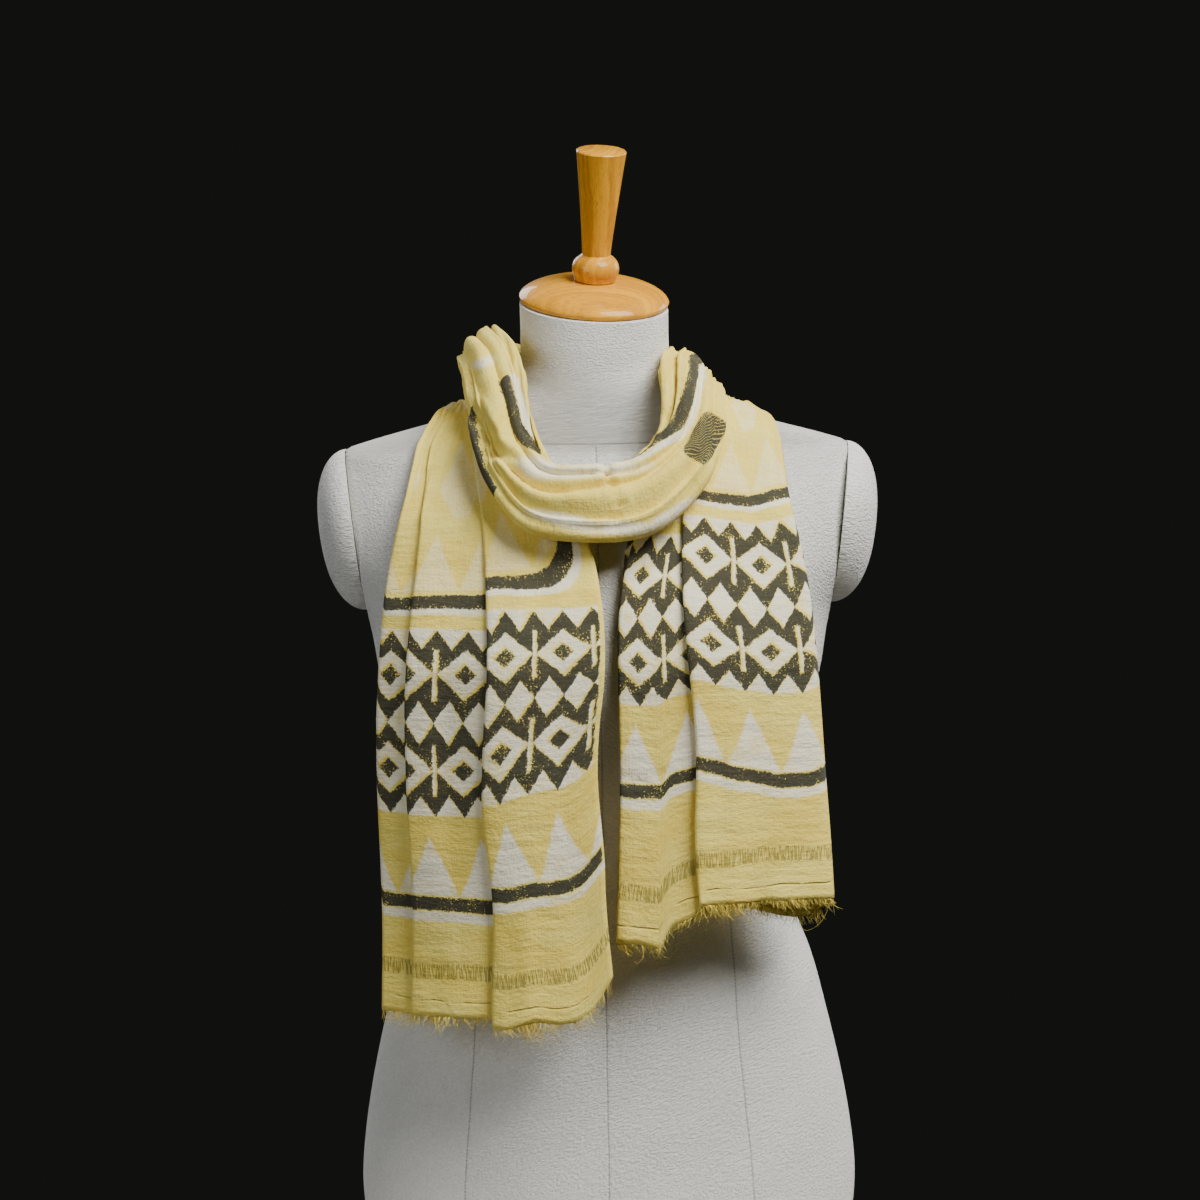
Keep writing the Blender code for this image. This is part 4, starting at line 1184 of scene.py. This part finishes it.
class Finish:
    """A material whose nodes are made by sums on readings."""

    def __init__(self, name):
        self.material = bpy.data.materials.new(name)
        self.material.use_nodes = True
        self.tree = self.material.node_tree
        self.shader = self.tree.nodes["Principled BSDF"]

    def join(self, value, socket):
        if isinstance(value, Reading):
            self.tree.links.new(value.socket, socket)
        elif isinstance(value, bpy.types.NodeSocket):
            self.tree.links.new(value, socket)
        else:
            socket.default_value = value

    def node(self, kind, *values, **named):
        """A new node, with values joined to its inputs in order or by name."""
        made = self.tree.nodes.new("ShaderNode" + kind)
        for value, socket in zip(values, made.inputs):
            self.join(value, socket)
        for name, value in named.items():
            self.join(value, made.inputs[name.replace("_", " ")])
        return made

    def math(self, operation, *values):
        node = self.node("Math", *values)
        node.operation = operation
        return Reading(self, node.outputs[0])

    def marked(self, name):
        """The three numbers stored at each point under a name."""
        node = self.node("Attribute")
        node.attribute_name = name
        split = self.node("SeparateXYZ", node.outputs["Vector"])
        return [Reading(self, socket) for socket in split.outputs]

    def place(self, x, y, z=0.0):
        return self.node("CombineXYZ", x, y, z).outputs[0]

    def noise(self, place, scale=1.0, detail=2.0, roughness=0.5):
        """Three independent noises from 0 to 1 at a place."""
        node = self.node("TexNoise", Vector=place, Scale=scale, Detail=detail, Roughness=roughness)
        split = self.node("SeparateColor", node.outputs["Color"])
        return [Reading(self, socket) for socket in split.outputs]

    def blend(self, share, first, second, kind="MIX"):
        """A colour between two, or one laid on the other."""
        node = self.node("Mix")
        node.data_type = "RGBA"
        node.blend_type = kind
        self.join(share, node.inputs["Factor"])
        for value, socket in zip((first, second), [i for i in node.inputs if i.type == "RGBA"]):
            self.join((*value, 1) if isinstance(value, tuple) else value, socket)
        return next(o for o in node.outputs if o.type == "RGBA")

    def grey(self, value):
        return self.node("CombineColor", value, value, value).outputs[0]

    def bumps(self, height):
        """Relief from a height in metres."""
        node = self.node("Bump", Distance=1.0, Height=height)
        self.join(node.outputs[0], self.shader.inputs["Normal"])

    def set(self, **values):
        for name, value in values.items():
            self.shader.inputs[name.replace("_", " ")].default_value = value


# ---------------------------------------------------------------- the gauze's print, in millimetres

BAND_MIDDLE = 207.0
BAND_ROW = 30.0
BAND_HALF = 60.3
DIAMOND_PITCH = 40.5
DIAMOND_PLACE = 252.0 + 9.0
DIAMOND_HALF = (19.3, 16.6)
HEART_HALF = (7.4, 6.6)
BAR_HALF = (1.5, 16.5)
POINT_REACH, POINT_NOTCH = 30.0, 13.5
BAND_MARGIN = 3.0
LOW_STRIPE, LOW_STRIPE_HALF = 89.0, 4.7
LOW_LINE, LOW_LINE_HALF = 79.5, 3.3
FRAME_FROM_END, FRAME_FROM_EDGE, FRAME_HALF = 286.0, 27.0, 4.6
FRAME_ROUND, FRAME_CLEAR = 34.0, 3
FRAME_LINE, FRAME_LINE_HALF = -7.2, 2.7
FAINT_SHARE, FAINT_MOST = 0.35, 0.12
HATCH_SPACING = 3.4
LADDER_FROM, LADDER_HEIGHT = 26.0, 10.0
PRESSED_LINE = 11.0
TALL_PITCH, TALL_PLACE, TALL_HALF, TALL_HEIGHT = 36.9, 307.5 + 9.0, 18.0, 40.0
FIELD_FROM, FIELD_ROW, FIELD_SHIFT = 56, 92.0, 19.0
FIELD_MIDDLE, FIELD_HALF_HEIGHT = 24, 34
# How far inside its own edge the middle of each pointed figure reads.
DIAMOND_DEEP, HEART_DEEP, TALL_DEEP, FIELD_DEEP = 12.6, 4.9, 16, 14
# The same for the loop's pale shapes and hatched block.
PALE_DEEP, BLOCK_DEEP = 2.4, 14
# Millimetres in a metre, a distance no seam reaches, and a full turn as the waves are drawn.
PER_METRE, OUT_OF_REACH, FULL_TURN = 1000, 1000, 6.283


def printed_masks(g, across, along, edge, border, pale, block):
    """How far inside the charcoal and the white each place is, in millimetres. Edge is the distance from the
    cloth's own edge, and border is the same where the loop's stripes are laid as listed."""
    band = abs(along - BAND_MIDDLE)
    row = abs(band - BAND_ROW)
    aside = (across - DIAMOND_PLACE).pingpong(DIAMOND_PITCH / 2)
    notch = (across - DIAMOND_PLACE).pingpong(DIAMOND_PITCH / 4)
    points = POINT_REACH - notch * (POINT_NOTCH / (DIAMOND_PITCH / 4)) - row
    diamond = (1 - aside / DIAMOND_HALF[0] - row / DIAMOND_HALF[1]) * DIAMOND_DEEP
    heart = (1 - aside / HEART_HALF[0] - row / HEART_HALF[1]) * HEART_DEEP
    bar = (BAR_HALF[0] - DIAMOND_PITCH / 2 + aside).least(BAR_HALF[1] - row)
    figure = points.least(-diamond.most(bar)).most(heart).least(edge - BAND_MARGIN)
    beside, above = border - FRAME_FROM_EDGE, along - FRAME_FROM_END
    corner = (FRAME_ROUND - abs(beside - above)).most(0.0) / FRAME_ROUND
    frame_place = beside.least(above) - corner * corner * (FRAME_ROUND / 4)
    low_stripe = (LOW_STRIPE_HALF - abs(along - LOW_STRIPE)).least(edge - 1.0)
    charcoal = figure.most(low_stripe).most(FRAME_HALF - abs(frame_place)).most(block)

    ground = (BAND_HALF - band).least(edge - BAND_MARGIN)
    white = ground.least(-figure - 0.3)
    white = white.most(LOW_LINE_HALF - abs(along - LOW_LINE))
    white = white.most(FRAME_LINE_HALF - abs(frame_place - FRAME_LINE)).most(pale)
    tall = (across - TALL_PLACE).pingpong(TALL_PITCH / 2)
    rise = along - (LOW_STRIPE + LOW_STRIPE_HALF)
    white = white.most(((1 - tall / TALL_HALF - rise / TALL_HEIGHT) * TALL_DEEP).least(rise))
    rise = along - (FRAME_FROM_END + FRAME_HALF)
    inside = frame_place - FRAME_HALF - FRAME_CLEAR
    faint = ((1 - tall / TALL_HALF - rise / TALL_HEIGHT) * TALL_DEEP).least(rise).least(inside)
    upper = g.math("MODULO", along - FRAME_FROM_END - FIELD_FROM, FIELD_ROW)
    shifted = (across - TALL_PLACE - FIELD_SHIFT).pingpong(TALL_PITCH)
    field = (1 - shifted / TALL_HALF - abs(upper - FIELD_MIDDLE) / FIELD_HALF_HEIGHT) * FIELD_DEEP
    field = field.least(upper).least(inside)
    faint = faint.most(field.least(along - FRAME_FROM_END - FIELD_FROM))
    white = white.most((faint * FAINT_SHARE).least(FAINT_MOST))
    return charcoal, white, heart


def gauze_finish(settings):
    """Thin crinkled gauze, dyed pale yellow and block printed in white and charcoal."""
    g = Finish("printed gauze")
    across, along, edge = (q * PER_METRE for q in g.marked("print"))
    cut, from_hem, _ = (q * PER_METRE for q in g.marked("cloth"))

    slow = g.noise(g.place(cut / 38, from_hem / 38), detail=1.0)
    quick = g.noise(g.place(cut / 4.2, from_hem / 4.2, 3.1), detail=2.0)
    border, pale, block = g.marked("loop")
    border, pale, block = border * PER_METRE, pale * PALE_DEEP, block * BLOCK_DEEP
    side = (slow[0] - 0.5) * 3.0 + (quick[0] - 0.5) * 2.2
    up = (slow[1] - 0.5) * 3.2 + (quick[1] - 0.5) * 2.2
    charcoal, _, heart = printed_masks(g, across + side, along + up, edge + side, border + side, pale, block)
    _, white, _ = printed_masks(
        g, across + side * 1.2 + 0.9, along + up * 1.1 - 1.0, edge + side, border + side, pale, block
    )

    speck = g.noise(g.place(cut / 1.3, from_hem / 1.3, 1.7), detail=2.0, roughness=0.8)
    streak = g.noise(g.place(cut / 1.4, from_hem / 6.5, 2.7), detail=1.0)
    patch = g.noise(g.place(cut / 15, from_hem / 15, 8.0), detail=2.0)
    ragged = (speck[0] - 0.5) * 2.4 + (streak[0] - 0.5) * 1.2
    inside = (charcoal + ragged).step(-0.4, 0.5)
    full = charcoal.least(3.5) * 0.02 + (patch[0] - 0.5) * 0.34 - heart.step(-0.4, 0.4) * 0.03
    ink = inside * (speck[1] * 0.8 + streak[1] * 0.2 + full).step(0.385, 0.43)
    slant = (cut * 0.8 + from_hem + (slow[2] - 0.5) * 34) * (FULL_TURN / HATCH_SPACING)
    hatch = g.math("SINE", slant) * 0.5 + 0.5
    hatch = hatch * 0.75 + speck[2] * 0.3
    ink = ink * (1 - block.step(-0.3, 0.3) * hatch.step(0.82, 0.90) * 0.7)
    chalk = (white + (speck[1] - 0.5) * 1.6).step(-0.8, 1.3)
    chalk = chalk * (0.94 - 0.40 * patch[1].step(0.50, 0.72))

    tone = g.noise(g.place(cut / 55, from_hem / 26, 2.0), detail=3.0, roughness=0.55)
    warp = g.noise(g.place(cut / 0.75, from_hem / 16, 4.0), detail=1.0)
    weft = g.noise(g.place(cut / 14, from_hem / 0.75, 6.0), detail=1.0)
    slub = g.noise(g.place(cut / 26, from_hem / 2.4, 7.0), detail=2.0)
    yellow = g.blend(tone[0].step(0.3, 0.72), tuple(settings.yellow), tuple(settings.pale_yellow))
    colour = g.blend(chalk, yellow, tuple(settings.white))
    colour = g.blend(ink * 0.94, colour, tuple(settings.charcoal))
    thread = 0.74 + (warp[0] + weft[0]) * 0.20 + (speck[2] - 0.5) * 0.14
    open_from = LADDER_FROM + (streak[2] - 0.5) * 3 + (slow[0] - 0.5) * 4
    above = (from_hem - open_from - LADDER_HEIGHT).step(-1.5, 1.5)
    ladder = (from_hem - open_from).step(-1.0, 1.0) * (1 - above)
    pulled = g.noise(g.place(cut / 0.85 + (from_hem - LADDER_FROM) / 9, from_hem / 11, 9.0), detail=1.0)
    # Where threads are pulled open, the shade sum darkens the gaps as painted shade seen through them. It
    # also darkens the ladder band as a whole a little, as painted shade.
    open_work_and_shade = ladder * pulled[0].step(0.44, 0.58)
    # A pressed crease line near the hem, sunk in relief. The shade sum also darkens it as painted shade along
    # the crease.
    pressed = abs(from_hem - PRESSED_LINE - (slow[1] - 0.5) * 9 - (slow[2] - 0.5) * 5)
    pressed = (1 - pressed.step(0.2, 1.1)) * patch[0].step(0.40, 0.58)
    shade = thread * (1.04 - 0.46 * open_work_and_shade - 0.05 * ladder - 0.14 * pressed) * (0.96 + 0.08 * slub[0])
    colour = g.blend(1.0, colour, g.grey(shade), "MULTIPLY")
    g.join(colour, g.shader.inputs["Base Color"])

    crinkle = g.noise(g.place(cut / 3.4, from_hem / 2.6, 5.0), detail=3.0, roughness=0.6)
    crease = g.noise(g.place(cut / 30, from_hem / 9, 15.0), detail=2.0, roughness=0.5)
    height = (warp[1] + weft[1]) * 0.00016 + crinkle[0] * 0.0007 + crease[0] * 0.0012 - open_work_and_shade * 0.0004
    g.bumps(height + slub[1] * 0.0002 - pressed * 0.0007)
    g.set(Roughness=0.95, Sheen_Weight=0.06, Sheen_Roughness=0.5, Specular_IOR_Level=0.1)
    return g.material


def linen_finish(settings):
    """Off-white linen pulled smooth over padding, with thin sewn seams."""
    g = Finish("linen cover")
    round_it, height, depth = (q * PER_METRE for q in g.marked("weave"))
    middle, princess, neck = (q * PER_METRE for q in g.marked("seams"))
    warp = g.noise(g.place(round_it / 0.7, height / 9, depth / 40), detail=1.0)
    weft = g.noise(g.place(round_it / 9, height / 0.7, 5.0), detail=1.0)
    grain = g.noise(g.place(round_it / 1.9, height / 1.9, depth / 6), detail=3.0, roughness=0.65)
    slub = g.noise(g.place(round_it / 40, height / 1.5, 9.0), detail=2.0)
    patch = g.noise(g.place(round_it / 60, height / 60, 2.0), detail=3.0)

    wave = g.noise(g.place(height / 30, 0.0, 4.0), detail=0.0)
    wander = (wave[0] - 0.5) * 1.2
    below = 1 - neck.step(-0.5, 0.5)
    nearest = abs(middle + wander) + (1 - below) * OUT_OF_REACH
    nearest = nearest.least(abs(princess + wander) + (1 - below) * OUT_OF_REACH)
    nearest = nearest.least(abs(neck + wander * 0.4))
    stitch = (g.math("SINE", height * 2.6) * 0.5 + 0.5).step(0.2, 0.6)
    half_seam = settings.seam_width / 2 * PER_METRE
    line = 1 - nearest.step(half_seam, half_seam + 0.45)
    # Beside each seam the cover sinks a little in relief and is darkened a little as painted shade in that
    # hollow.
    seam_hollow_and_shade = 1 - nearest.step(0.0, 2.2)

    colour = g.blend(patch[0].step(0.3, 0.75), tuple(settings.linen), tuple(settings.linen_shade))
    shade = 0.90 + (warp[0] + weft[0]) * 0.05 + (grain[0] - 0.5) * 0.5 + slub[0] * 0.02
    shade = shade * (1 - line * (0.20 + 0.22 * stitch)) * (1 - seam_hollow_and_shade * 0.04)
    colour = g.blend(1.0, colour, g.grey(shade), "MULTIPLY")
    g.join(colour, g.shader.inputs["Base Color"])
    relief = (warp[1] + weft[1]) * 0.00014 + grain[1] * 0.0022 - seam_hollow_and_shade * 0.0003 - line * 0.00025
    g.bumps(relief + patch[1] * 0.0006)
    g.set(Roughness=0.88, Sheen_Weight=0.15, Sheen_Roughness=0.6, Specular_IOR_Level=0.2)
    return g.material


def wood_finish(settings):
    """Light turned wood under clear gloss varnish."""
    g = Finish("varnished wood")
    x, y, z = (q * PER_METRE for q in g.marked("grain"))
    drift = g.noise(g.place(x / 30, y / 30, z / 90), detail=2.0)
    side = x + 31 + (drift[0] - 0.5) * 16
    deep = y - 12 + (drift[1] - 0.5) * 16
    ring = g.math("SQRT", side * side + deep * deep)
    bands = g.noise(g.place(ring / 3.2, 0.0, z / 160), detail=2.0, roughness=0.55)
    fibre = g.noise(g.place(x / 0.8, y / 0.8, z / 26), detail=2.0, roughness=0.6)
    pores = g.noise(g.place(x / 0.45, y / 0.45, z / 7), detail=0.0)[0].step(0.70, 0.80)
    tone = (bands[0] * 0.6 + fibre[0] * 0.4).step(0.36, 0.64)
    colour = g.blend(tone, tuple(settings.wood_dark), tuple(settings.wood))
    colour = g.blend(1.0, colour, g.grey(1 - pores * 0.45), "MULTIPLY")
    g.join(colour, g.shader.inputs["Base Color"])
    g.bumps(fibre[1] * 0.00004 - pores * 0.00003)
    g.set(Roughness=0.45, Specular_IOR_Level=0.1, Coat_Weight=0.35, Coat_Roughness=0.06, Coat_IOR=1.5)
    return g.material


# ---------------------------------------------------------------- the frayed hems

FRAY_SIDES = 3
FRAY_STEPS = 6
FRAY_CLUMP = 9 * MM
FRAY_CLUMP_LENGTH = 0.45
FRAY_LENGTHS = (0.3, 1.2)
FRAY_LONG, FRAY_LONG_SHARE = 1.7, 0.05
FRAY_BEND, FRAY_CURL, FRAY_LEAN = 0.26, 0.40, 0.5
FRAY_ROOT = 0.8
FRAY_THICKNESSES = (0.7, 1.2)
FRAY_TIP = 0.5
FRAY_EDGE = 0.2
# A way that no thread runs, to find its sides from.
YARN_SIDE = (0.31, 0.9, 0.3)
FRAY_WANDER = Wander(13)
LEFT_SEED, RIGHT_SEED = 21, 22
STRAY_POINTS = 30
# Long loose threads: where each leaves the cut hem, and its steps from there.
LEFT_STRAYS = [
    (430, [(0, 0, 1), (-2, -2, -7), (-7, -3, -10), (-11, -2, -7)]),
    (370, [(0, 0, 1), (1, -2, -8), (5, -2, -13)]),
]
RIGHT_STRAYS = [
    (208, [(0, 0, 1), (-2, -2, -8), (-8, -3, -17), (-17, -2, -21), (-21, -1, -14), (-15, -2, -9)]),
    (420, [(0, 0, 1), (1, -2, -7), (-3, -3, -12), (-6, -2, -9)]),
]


def yarn(points, radius, tip):
    """A thin tapered thread along its points: its surface points and faces."""
    points = np.asarray(points)
    ahead = unit(np.gradient(points, axis=0))
    side = unit(np.cross(ahead, np.array(YARN_SIDE)))
    other = np.cross(ahead, side)
    radii = np.linspace(radius, tip, len(points))
    angles = np.linspace(0, 2 * math.pi, FRAY_SIDES, endpoint=False)
    rings = [
        p + r * (math.cos(a) * s + math.sin(a) * o)
        for p, r, s, o in zip(points, radii, side, other)
        for a in angles
    ]
    return rings, ring_faces(len(points), FRAY_SIDES)


def build_fray(name, hem, down, columns, settings, finish, seed, strays):
    """Short loose warp threads along a hem that faces down, and a few long strays."""
    random = np.random.default_rng(seed)
    count = round(columns.width / settings.fray_spacing)
    at = np.sort(random.uniform(0, columns.width, count))
    hem_points = np.stack([np.interp(at, columns.cut, hem[:, i]) for i in range(3)], axis=1)
    ways = unit(np.stack([np.interp(at, columns.cut, down[:, i]) for i in range(3)], axis=1))
    points, faces, places = [], [], []

    def add(line, thickness, cut):
        rings, sides = yarn(line, thickness, thickness * FRAY_TIP)
        first = len(points)
        points.extend(rings)
        faces.extend([tuple(first + i for i in face) for face in sides])
        places.extend([cut] * len(rings))

    for cut, start, way in zip(at, hem_points, ways):
        clump = FRAY_WANDER.at(cut / FRAY_CLUMP, seed)
        lean = FRAY_WANDER.at(cut / FRAY_CLUMP, seed, [3.5, 7.5, 11.5])
        length = settings.fray_length * random.uniform(*FRAY_LENGTHS) * (1 + FRAY_CLUMP_LENGTH * clump)
        length *= FRAY_LONG if random.random() < FRAY_LONG_SHARE else 1
        bend = (random.normal(0, FRAY_BEND, 3) + FRAY_LEAN * lean) * [1, 0.7, 0.4]
        curl = (random.normal(0, FRAY_CURL, 3) + FRAY_LEAN * lean) * [1, 0.7, 0.3]
        share = np.linspace(0, 1, FRAY_STEPS)[:, None]
        line = start - way * FRAY_ROOT * MM + length * (share * (way + bend) + share**2 * curl)
        add(line, settings.fray_thickness * random.uniform(*FRAY_THICKNESSES), cut)
    for cut, steps in strays:
        start = np.array([np.interp(cut * MM, columns.cut, hem[:, i]) for i in range(3)])
        at = np.linspace(0, len(steps) - 1, STRAY_POINTS)
        line = start + curve_through(range(len(steps)), np.array(steps) * MM, at)
        add(line, settings.fray_thickness, cut * MM)
    piece = mesh_piece(name, points, faces, finish)
    cloth = np.stack([places, np.zeros(len(places)), np.full(len(places), FRAY_EDGE)], axis=1)
    mark(piece, "cloth", cloth)
    mark(piece, "print", cloth)
    mark(piece, "loop", np.tile(NO_LOOP, (len(cloth), 1)))
    return piece


# ---------------------------------------------------------------- the stage

CAMERA_TARGET = (0.0007, 0.0, 0.481)
CAMERA_ELEVATION = 4.3
CAMERA_DISTANCE = 2.6
CAMERA_HALF_VIEW = 0.423
CAMERA_ROLL = -1.0
SENSOR_HALF = 18.0
FLOOR_THICK, FLOOR_RIM, FLOOR_DROP = 12 * MM, 2 * MM, 0.2 * MM
FLOOR_SHADE = 0.94


def build_floor(settings, finish):
    """A plain pale round floor with a softened rim."""
    around, radius, thick, rim = 128, settings.floor_radius, FLOOR_THICK, FLOOR_RIM
    profile = [(radius - rim, -thick), (radius, -thick + rim), (radius, -rim), (radius - rim, 0.0)]
    angles = np.linspace(0, 2 * math.pi, around, endpoint=False)
    points = [(r * math.cos(a), r * math.sin(a), h) for r, h in profile for a in angles]
    floor = mesh_piece("floor", points, ring_faces(len(profile), around), finish, smooth_angle=30)
    floor.location.z = -FLOOR_DROP


def floor_finish(settings):
    g = Finish("pale floor")
    grain = g.noise(g.node("NewGeometry").outputs["Position"], scale=90.0, detail=4.0)
    shade = tuple(FLOOR_SHADE * c for c in settings.floor_colour)
    colour = g.blend(grain[0].step(0.3, 0.7), tuple(settings.floor_colour), shade)
    g.join(colour, g.shader.inputs["Base Color"])
    g.bumps(grain[1] * 0.0002)
    g.set(Roughness=0.8)
    return g.material


def softbox(name, place, aim, size, power, tint):
    lamp = bpy.data.lights.new(name, "AREA")
    lamp.shape, lamp.size, lamp.energy, lamp.color = "SQUARE", size, power, tint
    made = bpy.data.objects.new(name, lamp)
    made.location = place
    made.rotation_mode = "QUATERNION"
    made.rotation_quaternion = (Vector(aim) - Vector(place)).to_track_quat("-Z", "Y")
    bpy.context.scene.collection.objects.link(made)


def build_camera():
    elevation = math.radians(CAMERA_ELEVATION)
    back = Vector((0, -math.cos(elevation), math.sin(elevation)))
    camera = bpy.data.cameras.new("camera")
    camera.lens = SENSOR_HALF * CAMERA_DISTANCE / CAMERA_HALF_VIEW
    camera.sensor_width = 2 * SENSOR_HALF
    made = bpy.data.objects.new("camera", camera)
    made.location = Vector(CAMERA_TARGET) + back * CAMERA_DISTANCE
    made.rotation_mode = "QUATERNION"
    roll = Quaternion((0, 0, 1), math.radians(CAMERA_ROLL))
    made.rotation_quaternion = (-back).to_track_quat("-Z", "Y") @ roll
    bpy.context.scene.collection.objects.link(made)
    bpy.context.scene.camera = made


def build_lights(settings):
    world = bpy.data.worlds.new("studio")
    world.use_nodes = True
    world.node_tree.nodes["Background"].inputs[0].default_value = (*settings.backdrop, 1)
    bpy.context.scene.world = world
    softbox("key light", (1.25, -1.2, 2.5), (0, 0, 0.5), 1.5, settings.key_power, (1.0, 0.99, 0.965))
    softbox("fill light", (-1.7, -1.5, 0.9), (0, 0, 0.45), 1.3, settings.fill_power, (0.95, 0.975, 1.0))
    softbox("back light", (-0.9, 1.7, 1.5), (0, 0, 0.5), 0.9, settings.back_power, (1.0, 1.0, 1.0))
    softbox("side light", (1.7, 1.3, 1.2), (0, 0, 0.5), 0.9, settings.back_power, (1.0, 1.0, 1.0))


# ---------------------------------------------------------------- settings, steps and panel


def colour_setting(name, description, colour):
    return bpy.props.FloatVectorProperty(
        name=name, description=description, default=linear(*colour), size=3, subtype="COLOR", min=0, max=1
    )


def length_setting(name, description, value):
    return bpy.props.FloatProperty(
        name=name, description=description, default=value, min=0, subtype="DISTANCE", unit="LENGTH"
    )


def power_setting(name, description, value):
    return bpy.props.FloatProperty(name=name, description=description, default=value, unit="POWER")


class StoleSettings(bpy.types.PropertyGroup):
    yellow: colour_setting("Yellow", "The dyed ground of the gauze", (239, 211, 96))
    pale_yellow: colour_setting("Pale yellow", "The paler patches of the ground", (243, 224, 118))
    white: colour_setting("White", "The white print", (244, 237, 210))
    charcoal: colour_setting("Charcoal", "The charcoal print", (33, 41, 50))
    fray_length: length_setting("Fray length", "Usual length of the loose threads at the hems", 7.5 * MM)
    fray_spacing: length_setting("Fray spacing", "Usual distance between loose threads", 0.42 * MM)
    fray_thickness: length_setting("Thread thickness", "Radius of a loose thread", 0.17 * MM)


class FormSettings(bpy.types.PropertyGroup):
    linen: colour_setting("Linen", "The form's cover", (238, 236, 230))
    linen_shade: colour_setting("Linen shade", "The cover's darker patches", (229, 227, 221))
    wood: colour_setting("Wood", "The lighter grain of the turned wood", (234, 166, 38))
    wood_dark: colour_setting("Dark wood", "The darker grain of the turned wood", (196, 132, 34))
    seam_width: length_setting("Seam width", "Width of the sewn lines on the form", 0.5 * MM)


class StageSettings(bpy.types.PropertyGroup):
    floor_colour: colour_setting("Floor", "The pale floor", (214, 213, 210))
    backdrop: colour_setting("Backdrop", "What lies behind the object", (23, 24, 21))
    floor_radius: length_setting("Floor radius", "How far the round floor reaches", 0.26)
    key_power: power_setting("Key light", "Main light's power", 148)
    fill_power: power_setting("Fill light", "Fill light's power", 17)
    back_power: power_setting("Back lights", "Back lights' power", 18)


def declare(piece, slot, *nodes):
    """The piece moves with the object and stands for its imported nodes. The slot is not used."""
    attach(piece, "root")
    if nodes:
        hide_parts(*nodes)


def shared_finish(name, make, settings):
    return bpy.data.materials.get(name) or make(settings)


class STOLE_OT_stage(bpy.types.Operator):
    """Makes the floor, the camera and the lights"""

    bl_idname = "stole.stage"
    bl_label = "Stage"

    def execute(self, context):
        settings = context.scene.stole_stage
        build_camera()
        build_floor(settings, shared_finish("pale floor", floor_finish, settings))
        build_lights(settings)
        return {"FINISHED"}


class STOLE_OT_form(bpy.types.Operator):
    """Makes the linen-covered torso and its two shoulder caps"""

    bl_idname = "stole.form"
    bl_label = "Dress form"

    def execute(self, context):
        linen = shared_finish("linen cover", linen_finish, context.scene.stole_form)
        declare(build_form_cover(linen), "linen_cover", "form_body")
        left = build_shoulder_cap(-1, "shoulder_cover_left", linen)
        declare(left, "linen_cover", "form_shoulder_cap_left")
        right = build_shoulder_cap(1, "shoulder_cover_right", linen)
        declare(right, "linen_cover", "form_shoulder_cap_right")
        return {"FINISHED"}


class STOLE_OT_wooden_cap(bpy.types.Operator):
    """Makes the turned wooden disc and handle on the neck"""

    bl_idname = "stole.wooden_cap"
    bl_label = "Wooden cap"

    def execute(self, context):
        wood = shared_finish("varnished wood", wood_finish, context.scene.stole_form)
        disc, handle = build_wooden_cap(wood)
        declare(disc, "varnished_wood", "neck_disc")
        declare(handle, "varnished_wood", "finial")
        return {"FINISHED"}


class STOLE_OT_left_end(bpy.types.Operator):
    """Makes the stole's left end and its frayed hem"""

    bl_idname = "stole.left_end"
    bl_label = "Left end"

    def execute(self, context):
        settings = context.scene.stole_cloth
        gauze = shared_finish("printed gauze", gauze_finish, settings)
        cloth, grid, columns = build_left_fall(gauze)
        declare(cloth, "printed_gauze", "stole_left_fall")
        down = grid[0] - grid[1]
        fray = build_fray(
            "stole_left_fray", grid[0], down, columns, settings, gauze, LEFT_SEED, LEFT_STRAYS
        )
        declare(fray, "printed_gauze")
        return {"FINISHED"}


class STOLE_OT_loop(bpy.types.Operator):
    """Makes the stole's loop and right end and its frayed hem"""

    bl_idname = "stole.loop"
    bl_label = "Loop and right end"

    def execute(self, context):
        settings = context.scene.stole_cloth
        gauze = shared_finish("printed gauze", gauze_finish, settings)
        cloth, grid, columns = build_strand(gauze)
        declare(cloth, "printed_gauze", "stole_loop", "stole_right_fall")
        down = grid[-1] - grid[-2]
        fray = build_fray(
            "stole_right_fray", grid[-1], down, columns, settings, gauze, RIGHT_SEED, RIGHT_STRAYS
        )
        declare(fray, "printed_gauze")
        return {"FINISHED"}


class STOLE_PT_panel(bpy.types.Panel):
    """Lists the steps that build the stole and its dress form"""

    bl_idname = "STOLE_PT_panel"
    bl_label = "Stole"
    bl_space_type = "VIEW_3D"
    bl_region_type = "UI"
    bl_category = "Stole"

    def draw(self, context):
        for group in (context.scene.stole_cloth, context.scene.stole_form, context.scene.stole_stage):
            for name in group.__annotations__:
                self.layout.prop(group, name)
        for step in STEPS:
            self.layout.operator(step.bl_idname)


SETTINGS = {"stole_cloth": StoleSettings, "stole_form": FormSettings, "stole_stage": StageSettings}
STEPS = (STOLE_OT_stage, STOLE_OT_form, STOLE_OT_wooden_cap, STOLE_OT_left_end, STOLE_OT_loop)


def register():
    for group in (*SETTINGS.values(), *STEPS, STOLE_PT_panel):
        bpy.utils.register_class(group)
    for name, group in SETTINGS.items():
        setattr(bpy.types.Scene, name, bpy.props.PointerProperty(type=group))


def unregister():
    for name in SETTINGS:
        delattr(bpy.types.Scene, name)
    for group in reversed((*SETTINGS.values(), *STEPS, STOLE_PT_panel)):
        bpy.utils.unregister_class(group)


def main():
    register()
    bpy.ops.stole.stage()
    bpy.ops.stole.form()
    bpy.ops.stole.wooden_cap()
    bpy.ops.stole.left_end()
    bpy.ops.stole.loop()


if __name__ == "__main__":
    main()
